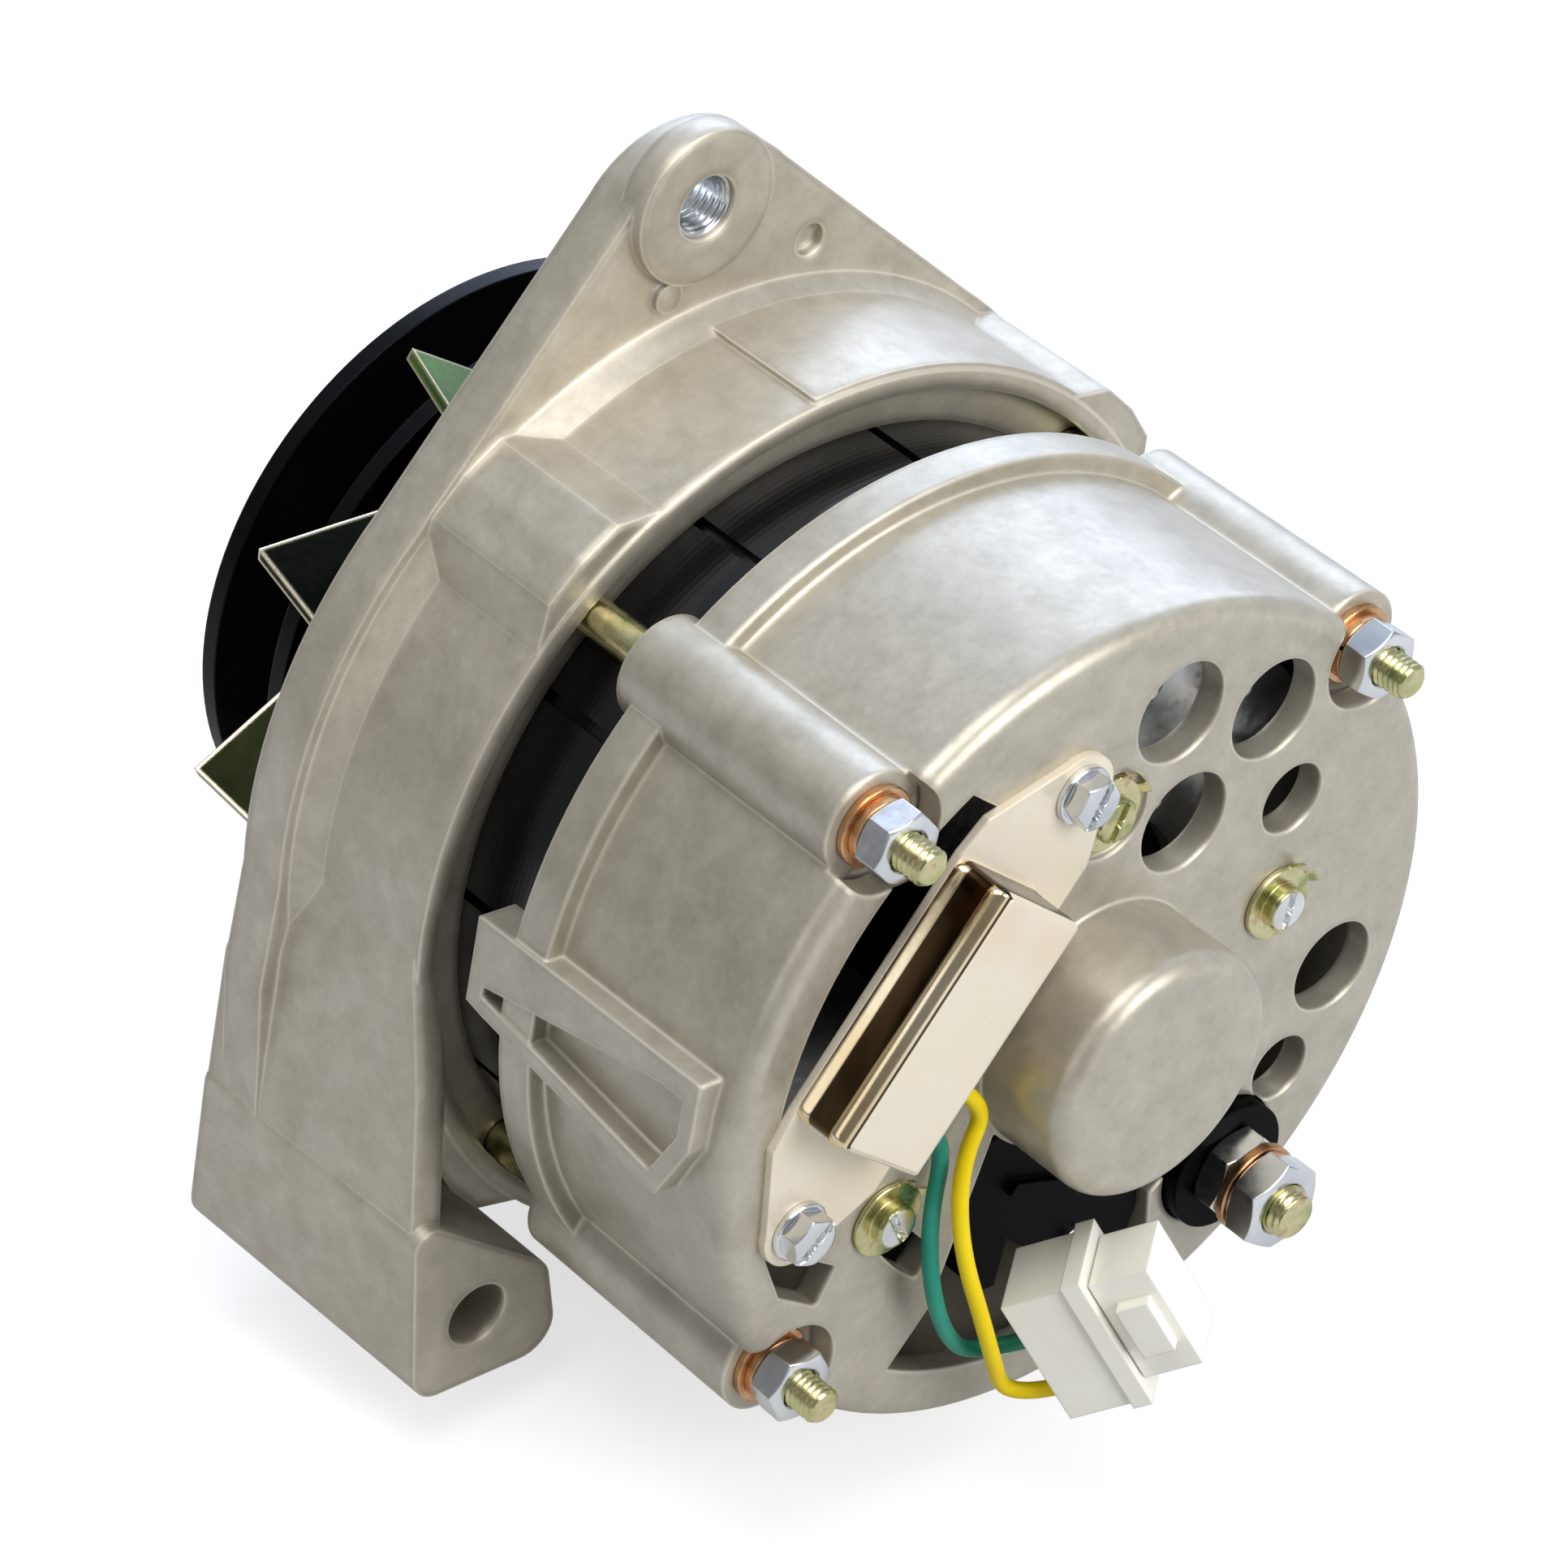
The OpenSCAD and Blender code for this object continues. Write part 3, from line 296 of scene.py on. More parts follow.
def edge_glint(nt, radius, plain, bright):
    """Colour that turns to `bright` within a small distance of an edge: a painted highlight along it.
    """
    geo = nt.nodes.new("ShaderNodeNewGeometry")
    dot = nt.nodes.new("ShaderNodeVectorMath")
    dot.operation = "DOT_PRODUCT"
    nt.links.new(soft_edges(nt, radius), dot.inputs[0])
    nt.links.new(geo.outputs["Normal"], dot.inputs[1])
    mask = ramp(nt, dot.outputs["Value"], [(EDGE_NEAR, grey(1)), (EDGE_FAR, grey(0))])
    return tinted(nt, mask, plain, bright)


def near_spot(nt, plain, place, reach, tint):
    """Colour that turns to `tint` within `reach` of a place on the part."""
    tc = nt.nodes.new("ShaderNodeTexCoord")
    gap = nt.nodes.new("ShaderNodeVectorMath")
    gap.operation = "DISTANCE"
    gap.inputs[1].default_value = place
    nt.links.new(tc.outputs["Object"], gap.inputs[0])
    near = nt.nodes.new("ShaderNodeMapRange")
    near.inputs["From Min"].default_value = 0.0
    near.inputs["From Max"].default_value = reach
    near.inputs["To Min"].default_value = 1.0
    near.inputs["To Max"].default_value = 0.0
    nt.links.new(gap.outputs["Value"], near.inputs["Value"])
    return tinted(nt, near.outputs["Result"], plain, tint)


# %% [markdown]
# ## Cast aluminium
# Both brackets are cast in metal moulds and blasted, so they are silky and not mirror-like: a fine
# grain, soft blotches of oxide, and rounded edges, which also get a painted highlight. A fully
# metallic shader turns too dark in a white studio, and a plain grey one looks like paint. Half metal
# with a thin rough coat lies between them, and reads as blasted aluminium.

# %% Cast aluminium
CAST_METAL = 0.5
CAST_COAT = (0.25, 0.35)
# how much brighter, and how wide, the painted highlight along the edges is
PAINTED_EDGE_GAIN = 1.5
PAINTED_EDGE_WIDTH = 0.0009
BLOTCHES = (150, 8, 0.75)
WAVES_SCALE = 110
GRAIN_SCALE = 800


def casting(name, dark, light, rough, rounding):
    """Blasted aluminium between two colours, with edges rounded by the shader and a painted highlight
    along them.
    """
    m, nt, bsdf = new_material(name)
    bsdf.inputs["Metallic"].default_value = CAST_METAL
    weight, coat_rough = CAST_COAT
    bsdf.inputs["Coat Weight"].default_value = weight
    bsdf.inputs["Coat Roughness"].default_value = coat_rough
    blotch = ramp(nt, noise(nt, *BLOTCHES), [(0.3, dark), (0.68, light)])
    # painted highlight: the colour turns brighter along every edge
    painted_edge = tuple(min(1.0, c * PAINTED_EDGE_GAIN) for c in light)
    nt.links.new(edge_glint(nt, PAINTED_EDGE_WIDTH, blotch, painted_edge), bsdf.inputs["Base Color"])
    grain = noise(nt, GRAIN_SCALE, 3)
    nt.links.new(ramp(nt, grain, [(0.3, grey(rough - 0.05)), (0.7, grey(rough + 0.06))]),
                 bsdf.inputs["Roughness"])
    wavy = relief(nt, noise(nt, WAVES_SCALE, 2), 0.12, 0.0004, soft_edges(nt, rounding))
    nt.links.new(relief(nt, grain, 0.10, 0.0001, wavy), bsdf.inputs["Normal"])
    return m


# %% [markdown]
# ## Plated and bare metals
# Nuts, bolts, the fan and the regulator are steel with a thin plating. Zinc is pale and bright, and
# its yellow passivation drifts from gold to olive and brown, which one flat colour can't show. So
# one builder takes a list of colours and lets a soft noise wander through them. The fan's blades
# are made near black as a painted dark reflection, with a painted highlight along their edges and a
# painted green sheen on the one at the upper left of the rear view.

# %% Plated and bare metals
# a painted green sheen on the blade at the upper left: its place, its reach and its colour
PAINTED_GREEN_SHEEN = (at(-27, 66, -121), 0.027, (0.22, 0.46, 0.12))
# width of the painted highlight along the fan's edges
GLINT_WIDTH = 0.0011
PLATING_SCALE = 700
PLATING_HEIGHT = 0.00008


def plated(name, stops, rough, scale=120, metal=1.0, bump=0.08, edge=0.0003, glint=None):
    """Plated metal whose colour drifts through the stops. `glint` is the colour of a painted highlight
    along its edges, and with it comes a painted green sheen near one place.
    """
    m, nt, bsdf = new_material(name)
    bsdf.inputs["Metallic"].default_value = metal
    colour = ramp(nt, noise(nt, scale, 3), stops)
    if glint:
        # painted green sheen near one blade, then a painted highlight along the edges
        colour = near_spot(nt, colour, *PAINTED_GREEN_SHEEN)
        colour = edge_glint(nt, GLINT_WIDTH, colour, glint)
    nt.links.new(colour, bsdf.inputs["Base Color"])
    fine = noise(nt, PLATING_SCALE, 2)
    nt.links.new(ramp(nt, fine, [(0.3, grey(rough * 0.8)), (0.7, grey(rough * 1.25))]),
                 bsdf.inputs["Roughness"])
    fine_bump = relief(nt, fine, bump, PLATING_HEIGHT, soft_edges(nt, edge))
    nt.links.new(fine_bump, bsdf.inputs["Normal"])
    return m


# %% [markdown]
# ## The stator's sheets
# The stator is a pile of thin steel sheets under black lacquer. Modelling each sheet would cost
# many faces for lines that hardly show, so a wave along the rotor axis makes them as a bump. The
# wave node repeats every pi / 10 divided by its scale, which gives the scale for one sheet.

# %% Laminated core
SHEET = 0.001


def ridges(nt, pitch):
    """Even ridges along the rotor axis, for stacked sheets."""
    tc = nt.nodes.new("ShaderNodeTexCoord")
    wave = nt.nodes.new("ShaderNodeTexWave")
    wave.bands_direction = "Y"
    wave.wave_profile = "SIN"
    wave.inputs["Scale"].default_value = math.pi / 10 / pitch
    nt.links.new(tc.outputs["Object"], wave.inputs["Vector"])
    return wave.outputs["Fac"]


LACQUER = [(0.3, (0.0015, 0.0015, 0.002)), (0.8, (0.005, 0.005, 0.007))]


def laminated(name):
    """Lacquered sheets, nearly black, whose clear coat gives the long highlights."""
    m, nt, bsdf = new_material(name)
    nt.links.new(ramp(nt, noise(nt, 60, 4), LACQUER), bsdf.inputs["Base Color"])
    bsdf.inputs["Roughness"].default_value = 0.26
    bsdf.inputs["Specular IOR Level"].default_value = 0.35
    bsdf.inputs["Coat Weight"].default_value = 0.25
    bsdf.inputs["Coat Roughness"].default_value = 0.12
    sheets = relief(nt, ridges(nt, SHEET), 0.12, 0.0001)
    nt.links.new(relief(nt, noise(nt, 300, 3), 0.12, 0.0002, sheets), bsdf.inputs["Normal"])
    return m


# %% [markdown]
# ## Paint and plastic
# The pulley is stamped steel, painted black. The connector is pale nylon that light enters a
# little way, the block and the brush holder are black plastic, and the leads have soft coloured
# insulation. Paint and plastic could share one shader. They are kept apart, because only plastic
# takes subsurface light, and only paint has a grain that follows its roughness.

# %% Paint and plastic
PAINT_SHINE = 0.12
LIGHT_DEPTH = (0.002, 0.002, 0.0015)


def painted(name, dark, light, rough, edge=0.0005):
    """Matt paint, whose grain changes the roughness as well."""
    m, nt, bsdf = new_material(name)
    bsdf.inputs["Specular IOR Level"].default_value = PAINT_SHINE
    nt.links.new(ramp(nt, noise(nt, 70, 3), [(0.3, dark), (0.75, light)]),
                 bsdf.inputs["Base Color"])
    fine = noise(nt, 900, 2)
    nt.links.new(ramp(nt, fine, [(0.3, grey(rough * 0.85)), (0.7, grey(rough * 1.2))]),
                 bsdf.inputs["Roughness"])
    nt.links.new(relief(nt, fine, 0.08, 0.0001, soft_edges(nt, edge)), bsdf.inputs["Normal"])
    return m


def plastic(name, dark, light, rough, shine=0.5, glow=0.0):
    """Moulded plastic. `glow` is the share of light that goes in and comes out again."""
    m, nt, bsdf = new_material(name)
    nt.links.new(ramp(nt, noise(nt, 90, 3), [(0.3, dark), (0.7, light)]),
                 bsdf.inputs["Base Color"])
    bsdf.inputs["Roughness"].default_value = rough
    bsdf.inputs["Specular IOR Level"].default_value = shine
    bsdf.inputs["Subsurface Weight"].default_value = glow
    bsdf.inputs["Subsurface Radius"].default_value = LIGHT_DEPTH
    nt.links.new(relief(nt, noise(nt, 1300, 2), 0.12, 0.0001, soft_edges(nt, 0.0004)),
                 bsdf.inputs["Normal"])
    return m


# %% [markdown]
# ## The list of finishes
# Each solid of the CAD record has a material slot, such as zinc_steel. Colours could be set solid
# by solid, but one table with a finish per slot keeps equal parts equal. The colours come from
# comparing patches of the render and the photograph until they agreed.

# %% The list of finishes
ZINC = [(0.3, (0.62, 0.65, 0.68)), (0.7, (0.86, 0.87, 0.88))]
GOLD = [(0.25, (0.30, 0.32, 0.13)), (0.45, (0.58, 0.57, 0.29)), (0.6, (0.74, 0.66, 0.38)),
        (0.8, (0.34, 0.20, 0.10))]
MATERIALS = {
    "drive_casting": casting("drive_casting", (0.43, 0.387, 0.306), (0.60, 0.55, 0.455), 0.38, 0.0026),
    "slip_casting": casting("slip_casting", (0.40, 0.365, 0.295), (0.56, 0.52, 0.43), 0.36, 0.0014),
    "zinc_steel": plated("zinc_steel", ZINC, 0.20),
    "yellow_zinc": plated("yellow_zinc", GOLD, 0.24, scale=260),
    "copper_spring": plated("copper_spring", [(0.3, (0.50, 0.24, 0.10)), (0.7, (0.78, 0.50, 0.28))],
                            0.28, scale=200),
    "black_core": laminated("black_core"),
    "copper_wire": plated("copper_wire", [(0.3, (0.30, 0.09, 0.03)), (0.7, (0.52, 0.20, 0.07))],
                          0.35, metal=0.7, bump=0.5),
    "bearing_steel": plated("bearing_steel", ZINC, 0.12),
    "cage_brass": plated("cage_brass", [(0.3, (0.5, 0.36, 0.14)), (0.7, (0.7, 0.54, 0.26))], 0.3),
    "bare_steel": plated("bare_steel", [(0.3, (0.30, 0.30, 0.31)), (0.7, (0.46, 0.46, 0.47))], 0.35),
    "nylon": plastic("nylon", (0.62, 0.56, 0.42), (0.74, 0.68, 0.55), 0.45, glow=0.1),
    "resin": plastic("resin", (0.05, 0.03, 0.02), (0.09, 0.06, 0.05), 0.4),
    # the fan's near-black colour is a painted dark reflection, and its glint is a painted highlight
    # along the blade edges
    "fan_zinc": plated("fan_zinc", [(0.3, (0.002, 0.0025, 0.001)), (0.5, (0.006, 0.007, 0.003)),
                                    (0.7, (0.016, 0.02, 0.008))], 0.16, scale=30,
                       glint=(1.0, 0.86, 0.58)),
    "pulley_black": painted("pulley_black", (0.001, 0.001, 0.0015), (0.003, 0.003, 0.004), 0.3),
    "sink_aluminium": plated("sink_aluminium", ZINC, 0.38),
    "regulator_zinc": plated("regulator_zinc", [(0.25, (0.80, 0.68, 0.50)), (0.5, (0.86, 0.78, 0.63)),
                                                (0.8, (0.84, 0.77, 0.58))], 0.34, scale=50,
                             metal=0.3, edge=0.0005),
    "can_edge": plated("can_edge", [(0.3, (0.80, 0.62, 0.36)), (0.7, (0.95, 0.84, 0.62))], 0.16,
                       scale=60, edge=0.0002),
    # the dark brown of the can's walls is a painted dark reflection
    "can_wall_dark_reflection": plated("can_wall_dark_reflection", [(0.3, (0.05, 0.03, 0.015)), (0.7, (0.16, 0.105, 0.06))], 0.2,
                       scale=60, edge=0.0002),
    "can_line": plated("can_line", [(0.3, (0.05, 0.035, 0.02)), (0.7, (0.10, 0.075, 0.045))], 0.3,
                       edge=0.0001),
    "black_plastic": plastic("black_plastic", (0.001, 0.001, 0.001), (0.0025, 0.0025, 0.003), 0.42,
                             shine=0.04),
    "carbon": plastic("carbon", (0.01, 0.01, 0.01), (0.03, 0.03, 0.03), 0.5),
    "yellow_insulation": plastic("yellow_insulation", (0.84, 0.60, 0.0), (0.90, 0.70, 0.005), 0.36,
                                 shine=0.25, glow=0.05),
    "green_insulation": plastic("green_insulation", (0.01, 0.22, 0.15), (0.03, 0.31, 0.22), 0.36,
                                shine=0.25, glow=0.05),
    "plug_white": plastic("plug_white", (0.87, 0.85, 0.76), (0.93, 0.91, 0.84), 0.3, glow=0.25),
}


# %% [markdown]
# ## Dressing the solids
# A solid from the CAD may have no material or several. Its own shape is left alone, and every slot
# that it has takes the same finish.

# %% Dress the solids


def dress(obj, mat):
    """Give an object one material in every slot."""
    if not obj.data.materials:
        obj.data.materials.append(mat)
    for i in range(len(obj.data.materials)):
        obj.data.materials[i] = mat


slot_of = {s["node"]: s["material_slot"] for s in frame["record"]["subparts"]}
for node, slot in slot_of.items():
    dress(bpy.data.objects[node], MATERIALS[slot])
dress(leads[0], MATERIALS["yellow_insulation"])
dress(leads[1], MATERIALS["green_insulation"])
print("materials", len(MATERIALS), "on", len(slot_of), "nodes")

# %% [markdown]
# ## Mesh tools
# The small pieces are all skins over rows of points: a washer, a nut, a thread, a spring. They could
# come from primitives that are cut and joined, but booleans leave ragged faces. `lofted` bends a
# flat grid through closed loops of points instead, and `turned` makes the loops of a round piece:
# each ring has a radius and a height, as numbers or as functions of the angle. `finish` then points
# the faces outwards, marks the sharp edges and hands the piece to the part.

# %% Mesh tools
WELD = 1e-5


def lofted(bm, loops, mats=0):
    """Wrap a flat grid through closed loops of points. `mats` is a material number, or one a row."""
    n, m = len(loops[0]), len(loops)
    verts = bmesh.ops.create_grid(bm, x_segments=n, y_segments=m - 1, size=1.0)["verts"]
    for f in {f for v in verts for f in v.link_faces}:
        row = int((f.calc_center_median().y + 1) / 2 * (m - 1))
        f.material_index = mats if isinstance(mats, int) else mats[row]
    for v in verts:
        i, j = round((v.co.x + 1) / 2 * n) % n, round((v.co.y + 1) / 2 * (m - 1))
        v.co = loops[j][i]
    bmesh.ops.remove_doubles(bm, verts=verts, dist=WELD)


def turned(bm, rings, centre=(0, 0), n=48, spin=0.0, mats=0):
    """A round piece from rings of (radius, height), each a number or a function of the angle."""
    loops = []
    for r, z in rings:
        loop = []
        for k in range(n):
            a = 2 * math.pi * k / n
            radius = r(a) if callable(r) else r
            height = z(a) if callable(z) else z
            loop.append((centre[0] + radius * math.cos(a + spin),
                         centre[1] + radius * math.sin(a + spin), height))
        loops.append(loop)
    lofted(bm, loops, mats)


def finish(name, bm, body, slot, replaces=(), finishes=None, sharp=32.0):
    """Point the faces outwards, mark the sharp edges and place the piece in the part's frame.

    Its finish is its slot's, unless `finishes` lists others.
    """
    bmesh.ops.recalc_face_normals(bm, faces=bm.faces)
    for e in bm.edges:
        e.smooth = e.calc_face_angle(0.0) < math.radians(sharp)
    for f in bm.faces:
        f.smooth = True
    for v in bm.verts:
        v.co = at(*v.co)
    data = bpy.data.meshes.new(name)
    bm.to_mesh(data)
    bm.free()
    for finish_name in finishes or [slot]:
        data.materials.append(MATERIALS[finish_name])
    obj = bpy.data.objects.new(name, data)
    scene.collection.objects.link(obj)
    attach(obj, body)
    if replaces:
        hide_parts(*replaces)
    print(name, len(data.polygons), "faces")
    return obj


def polar(r, deg):
    """The x and y of a point at a radius and an angle in degrees."""
    return (r * math.cos(math.radians(deg)), r * math.sin(math.radians(deg)))


# %% [markdown]
# ## Nuts
# A bought nut is a hexagon whose corners are turned off by a 30 degree cone, which leaves a curved
# edge on each flat. A six-sided cylinder with a bevel gets a straight edge there. In `turned` a
# hexagon is only a radius that depends on the angle, and the cone a height that does, so the curved
# edge comes by itself.

# %% Nuts
CONE_SLOPE = 0.577
FACE_SHARE = 0.475
BORE_CHAMFER = 0.4


def hexed(af):
    """The radius of a hexagon that is `af` across its flats, at an angle."""
    return lambda a: af / 2 / math.cos(a % (math.pi / 3) - math.pi / 6)


def chamfered(af, z, sign):
    """The height of a hexagon's end where the cone cuts it. `sign` is the way that the end faces."""
    side = hexed(af)
    return lambda a: z - sign * CONE_SLOPE * max(0.0, side(a) - FACE_SHARE * af)


def nut(bm, af, bore, z0, z1, centre, spin=0.0):
    """A nut `af` across its flats from z0 to z1, with a chamfered bore."""
    face = FACE_SHARE * af
    turned(bm, [(bore, z0), (face, z0), (hexed(af), chamfered(af, z0, -1)),
                (hexed(af), chamfered(af, z1, 1)), (face, z1), (bore + BORE_CHAMFER, z1),
                (bore, z1 - BORE_CHAMFER), (bore, z0)], centre, spin=spin)


# %% [markdown]
# ## Threads
# A screw thread is a ridge that climbs by one pitch in a turn. It could be a profile swept along a
# helix, which meets the plain shank badly. Here the radius of each ring is a triangle wave of its
# height minus the climb at that angle, so the ridge climbs, and fades into the tip's chamfer.

# %% Threads


def thread_rings(r, depth, pitch, z0, z1, tip=0.7, steps=5):
    """Rings of a thread from z0 to z1, with the last `tip` millimetres turned down."""
    rings = []
    count = int((z1 - z0) / pitch * steps)
    for k in range(count + 1):
        z = z0 + (z1 - z0) * k / count

        def radius(a, z=z):
            t = (z / pitch - a / (2 * math.pi)) % 1.0
            return min(r - depth * abs(2 * t - 1), r - tip + max(0.0, z1 - z))

        rings.append((radius, z))
    return rings


# %% [markdown]
# ## Washers
# Under each nut lie a flat washer and a split spring washer. Both could be plain rings, but the gap
# and the lifted look of the split washer show in the picture. So it is a small section carried
# round almost a full turn, closed at both ends to a point in its middle, with its gap where each
# washer happened to stop.

# %% Washers
SPLIT_STEPS = 43
SPLIT_TURN = 352
RIM_CHAMFER = 0.16
SPLIT_CHAMFER = 0.12


def washer(bm, r0, r1, z0, z1, centre, mats=0):
    c = RIM_CHAMFER
    turned(bm, [(r0, z0), (r1 - c, z0), (r1, z0 + c), (r1, z1 - c), (r1 - c, z1), (r0 + c, z1),
                (r0, z1 - c), (r0, z0)], centre, mats=mats)


def split_washer(bm, r0, r1, z0, z1, centre, start):
    c = SPLIT_CHAMFER
    section = [(r0, z0 + c), (r0 + c, z0), (r1 - c, z0), (r1, z0 + c), (r1, z1 - c), (r1 - c, z1),
               (r0 + c, z1), (r0, z1 - c)]
    middle = ((r0 + r1) / 2, (z0 + z1) / 2)
    loops = []
    last = SPLIT_STEPS + 2
    for k in range(last + 1):
        turn = min(max(k - 1, 0), SPLIT_STEPS) / SPLIT_STEPS
        a = math.radians(start + (360 - SPLIT_TURN) / 2 + SPLIT_TURN * turn)
        ring = [middle] * len(section) if k in (0, last) else section
        loops.append([(centre[0] + r * math.cos(a), centre[1] + r * math.sin(a), z) for r, z in ring])
    lofted(bm, loops)


# %% [markdown]
# ## Through bolts
# Three long M6 bolts pull the two brackets together over the stator. Their heads are at the pulley
# side and their yellow tips stand out of the rear nuts. The CAD bolts are plain rods. A bump can't
# give a thread its jagged outline, so these bolts are turned again with real ridges, each as one
# closed skin from the head to the tip.

# %% Through bolts
BOLTS = [polar(65.4, a) for a in (124.5, 36, 212)]
BOLT_R = 3
BOLT_AF = 10
HEAD_TOP, HEAD_SEAT = -100.5, -96.5
HEAD_FACE_R = 4.7
THREAD_FROM = -21.9
BOLT_END = 8.1
M6_DEPTH, M6_PITCH = 0.55, 1.0

bm = bmesh.new()
for c in BOLTS:
    head = [(0, HEAD_TOP), (HEAD_FACE_R, HEAD_TOP), (hexed(BOLT_AF), chamfered(BOLT_AF, HEAD_TOP, -1)),
            (hexed(BOLT_AF), HEAD_SEAT), (BOLT_R, HEAD_SEAT), (BOLT_R, THREAD_FROM - 0.1)]
    thread = thread_rings(BOLT_R, M6_DEPTH, M6_PITCH, THREAD_FROM, BOLT_END)
    turned(bm, head + thread + [(0, BOLT_END)], c)
finish("bolt_threads", bm, "housing", "yellow_zinc", ["through_bolts"])

# %% [markdown]
# ## Nuts and washers of the bolts
# On each bolt's tip sit a flat washer, a split washer and a 10 mm nut. One set could be copied to
# all three bolts, but nobody tightens three nuts to the same angle. So each nut and each split has
# an angle of its own, as in the photograph. Both washers are copper coloured.

# %% Nuts and washers of the bolts
NUT_SEAT = -4.4
FLAT_TOP = NUT_SEAT + 1.2
SPLIT_TOP = NUT_SEAT + 2.7
NUT_TOP = NUT_SEAT + 7.7
FLAT_R = (3.2, 6.2)
SPLIT_R = (3.15, 5.2)
NUT_TURNS = (4, 20, -12)
SPLIT_STARTS = (250, 150, 290)

bm = bmesh.new()
for c, turn in zip(BOLTS, NUT_TURNS):
    nut(bm, BOLT_AF, BOLT_R + 0.04, SPLIT_TOP, NUT_TOP, c, math.radians(turn))
finish("nut_faces", bm, "housing", "zinc_steel", ["bolt_nuts"])

bm = bmesh.new()
for c in BOLTS:
    washer(bm, *FLAT_R, NUT_SEAT, FLAT_TOP, c)
finish("flat_washer_rims", bm, "housing", "copper_spring", ["bolt_washers"])

bm = bmesh.new()
for c, start in zip(BOLTS, SPLIT_STARTS):
    split_washer(bm, *SPLIT_R, FLAT_TOP, SPLIT_TOP, c, start)
finish("split_washers", bm, "housing", "copper_spring", ["bolt_spring_washers"])

# %% [markdown]
# ## Output stud
# The charging current leaves by an M8 stud at the lower right of the rear face, with two 13 mm nuts
# and a split washer between them. The same helpers make them. Only the stud's tip shows, so its
# thread is a short collar round the CAD stud, and the rest of the stud stays as it is.

# %% Output stud
STUD = (27.4, -43)
STUD_AF = 13
STUD_BORE = 4.04
INNER_NUT = (2.5, 7.5)
STUD_SPLIT = (7.5, 9)
OUTER_NUT = (9, 14.5)
STUD_SPLIT_R = (4.15, 7.2)
STUD_R = 3.95
M8_DEPTH, M8_PITCH = 0.6, 1.25
COLLAR_FROM, COLLAR_CORE, COLLAR_TOP, COLLAR_END = 14.2, 3.0, 16.5, 17.05

bm = bmesh.new()
nut(bm, STUD_AF, STUD_BORE, *INNER_NUT, STUD, 0.1)
finish("stud_nut_lower", bm, "housing", "zinc_steel", ["stud_inner_nut"])
bm = bmesh.new()
nut(bm, STUD_AF, STUD_BORE, *OUTER_NUT, STUD, math.radians(20))
finish("stud_nut_upper", bm, "housing", "zinc_steel", ["stud_outer_nut"])
bm = bmesh.new()
split_washer(bm, *STUD_SPLIT_R, *STUD_SPLIT, STUD, 285)
finish("stud_split_washer", bm, "housing", "copper_spring", ["stud_spring_washer"])
bm = bmesh.new()
turned(bm, [(COLLAR_CORE, COLLAR_FROM)]
       + thread_rings(STUD_R, M8_DEPTH, M8_PITCH, COLLAR_FROM, COLLAR_END, 0.6)
       + [(0, COLLAR_END), (0, COLLAR_TOP), (COLLAR_CORE, COLLAR_TOP), (COLLAR_CORE, COLLAR_FROM)],
       STUD)
finish("stud_thread", bm, "housing", "yellow_zinc")

# %% [markdown]
# ## Pulley nut and shaft end
# A 24 mm nut holds the pulley on the shaft's threaded end, which points away from the viewer. These
# two pieces turn with the rotor, so they ride on it and not on the housing. The thread is again a
# collar, with the dimple of a lathe centre in its end.

# %% Pulley nut and shaft end
NUT_AF = 24
SHAFT_NUT = (-148.5, -140.5)
SHAFT_BORE = 8.54
SHAFT_R = 8.5
SHAFT_END = 152.0
SHAFT_FROM = 148.3
SHAFT_CORE = 8.05
SHAFT_DEPTH, SHAFT_PITCH = 0.4, 1.5
DIMPLE = [(5.0, -SHAFT_END), (4.0, 0.6 - SHAFT_END), (0, 0.6 - SHAFT_END), (0, 3 - SHAFT_END)]

bm = bmesh.new()
nut(bm, NUT_AF, SHAFT_BORE, *SHAFT_NUT, (0, 0), math.radians(11))
finish("pulley_nut_faces", bm, "rotor", "zinc_steel", ["pulley_nut"])
bm = bmesh.new()
thread = thread_rings(SHAFT_R, SHAFT_DEPTH, SHAFT_PITCH, SHAFT_FROM, SHAFT_END, 1.0)
turned(bm, [(SHAFT_CORE, -SHAFT_FROM)] + [(r, -z) for r, z in thread] + DIMPLE
       + [(SHAFT_CORE, 3 - SHAFT_END), (SHAFT_CORE, -SHAFT_FROM)], n=64)
finish("shaft_thread", bm, "rotor", "bare_steel")

# %% [markdown]
# ## Winding
# Enamelled copper wire is wound through the stator, and its end turns show through the vents at
# both ends. The CAD has a smooth ring there. Hundreds of wires could be simulated, but they are
# seen only through slots. So a few strands run round the ring's rounded section, and each wanders a
# little from its place as it goes, so that the bundle looks wound and not turned.

# %% Winding strands
STRAND_R = 0.85
STRANDS = 14
STRAND_STEPS = 144
STRAND_SIDES = 6
RING_MIDDLES = (-74.35, -35.15)
RING_R, RING_HALF, RING_TALL = 53.0, 3.5, 4.75
SQUARENESS = 0.6
WANDER, WAVES, PHASE = 0.16, 9, 2.3


def rounded(c):
    """Pushes a circle's cosine or sine outwards, so that the section is a rounded oblong."""
    return math.copysign(abs(c) ** SQUARENESS, c)


def strand_loop(k, a, mid):
    """The section of strand k where it passes the angle `a` of the ring round `mid`."""
    b = 2 * math.pi * k / STRANDS + WANDER * math.sin(WAVES * a + PHASE * k)
    r = RING_R + RING_HALF * rounded(math.cos(b))
    z = mid + RING_TALL * rounded(math.sin(b))
    loop = []
    for j in range(STRAND_SIDES):
        t = 2 * math.pi * j / STRAND_SIDES
        side = r + STRAND_R * math.cos(t)
        loop.append((side * math.cos(a), side * math.sin(a), z + STRAND_R * math.sin(t)))
    return loop


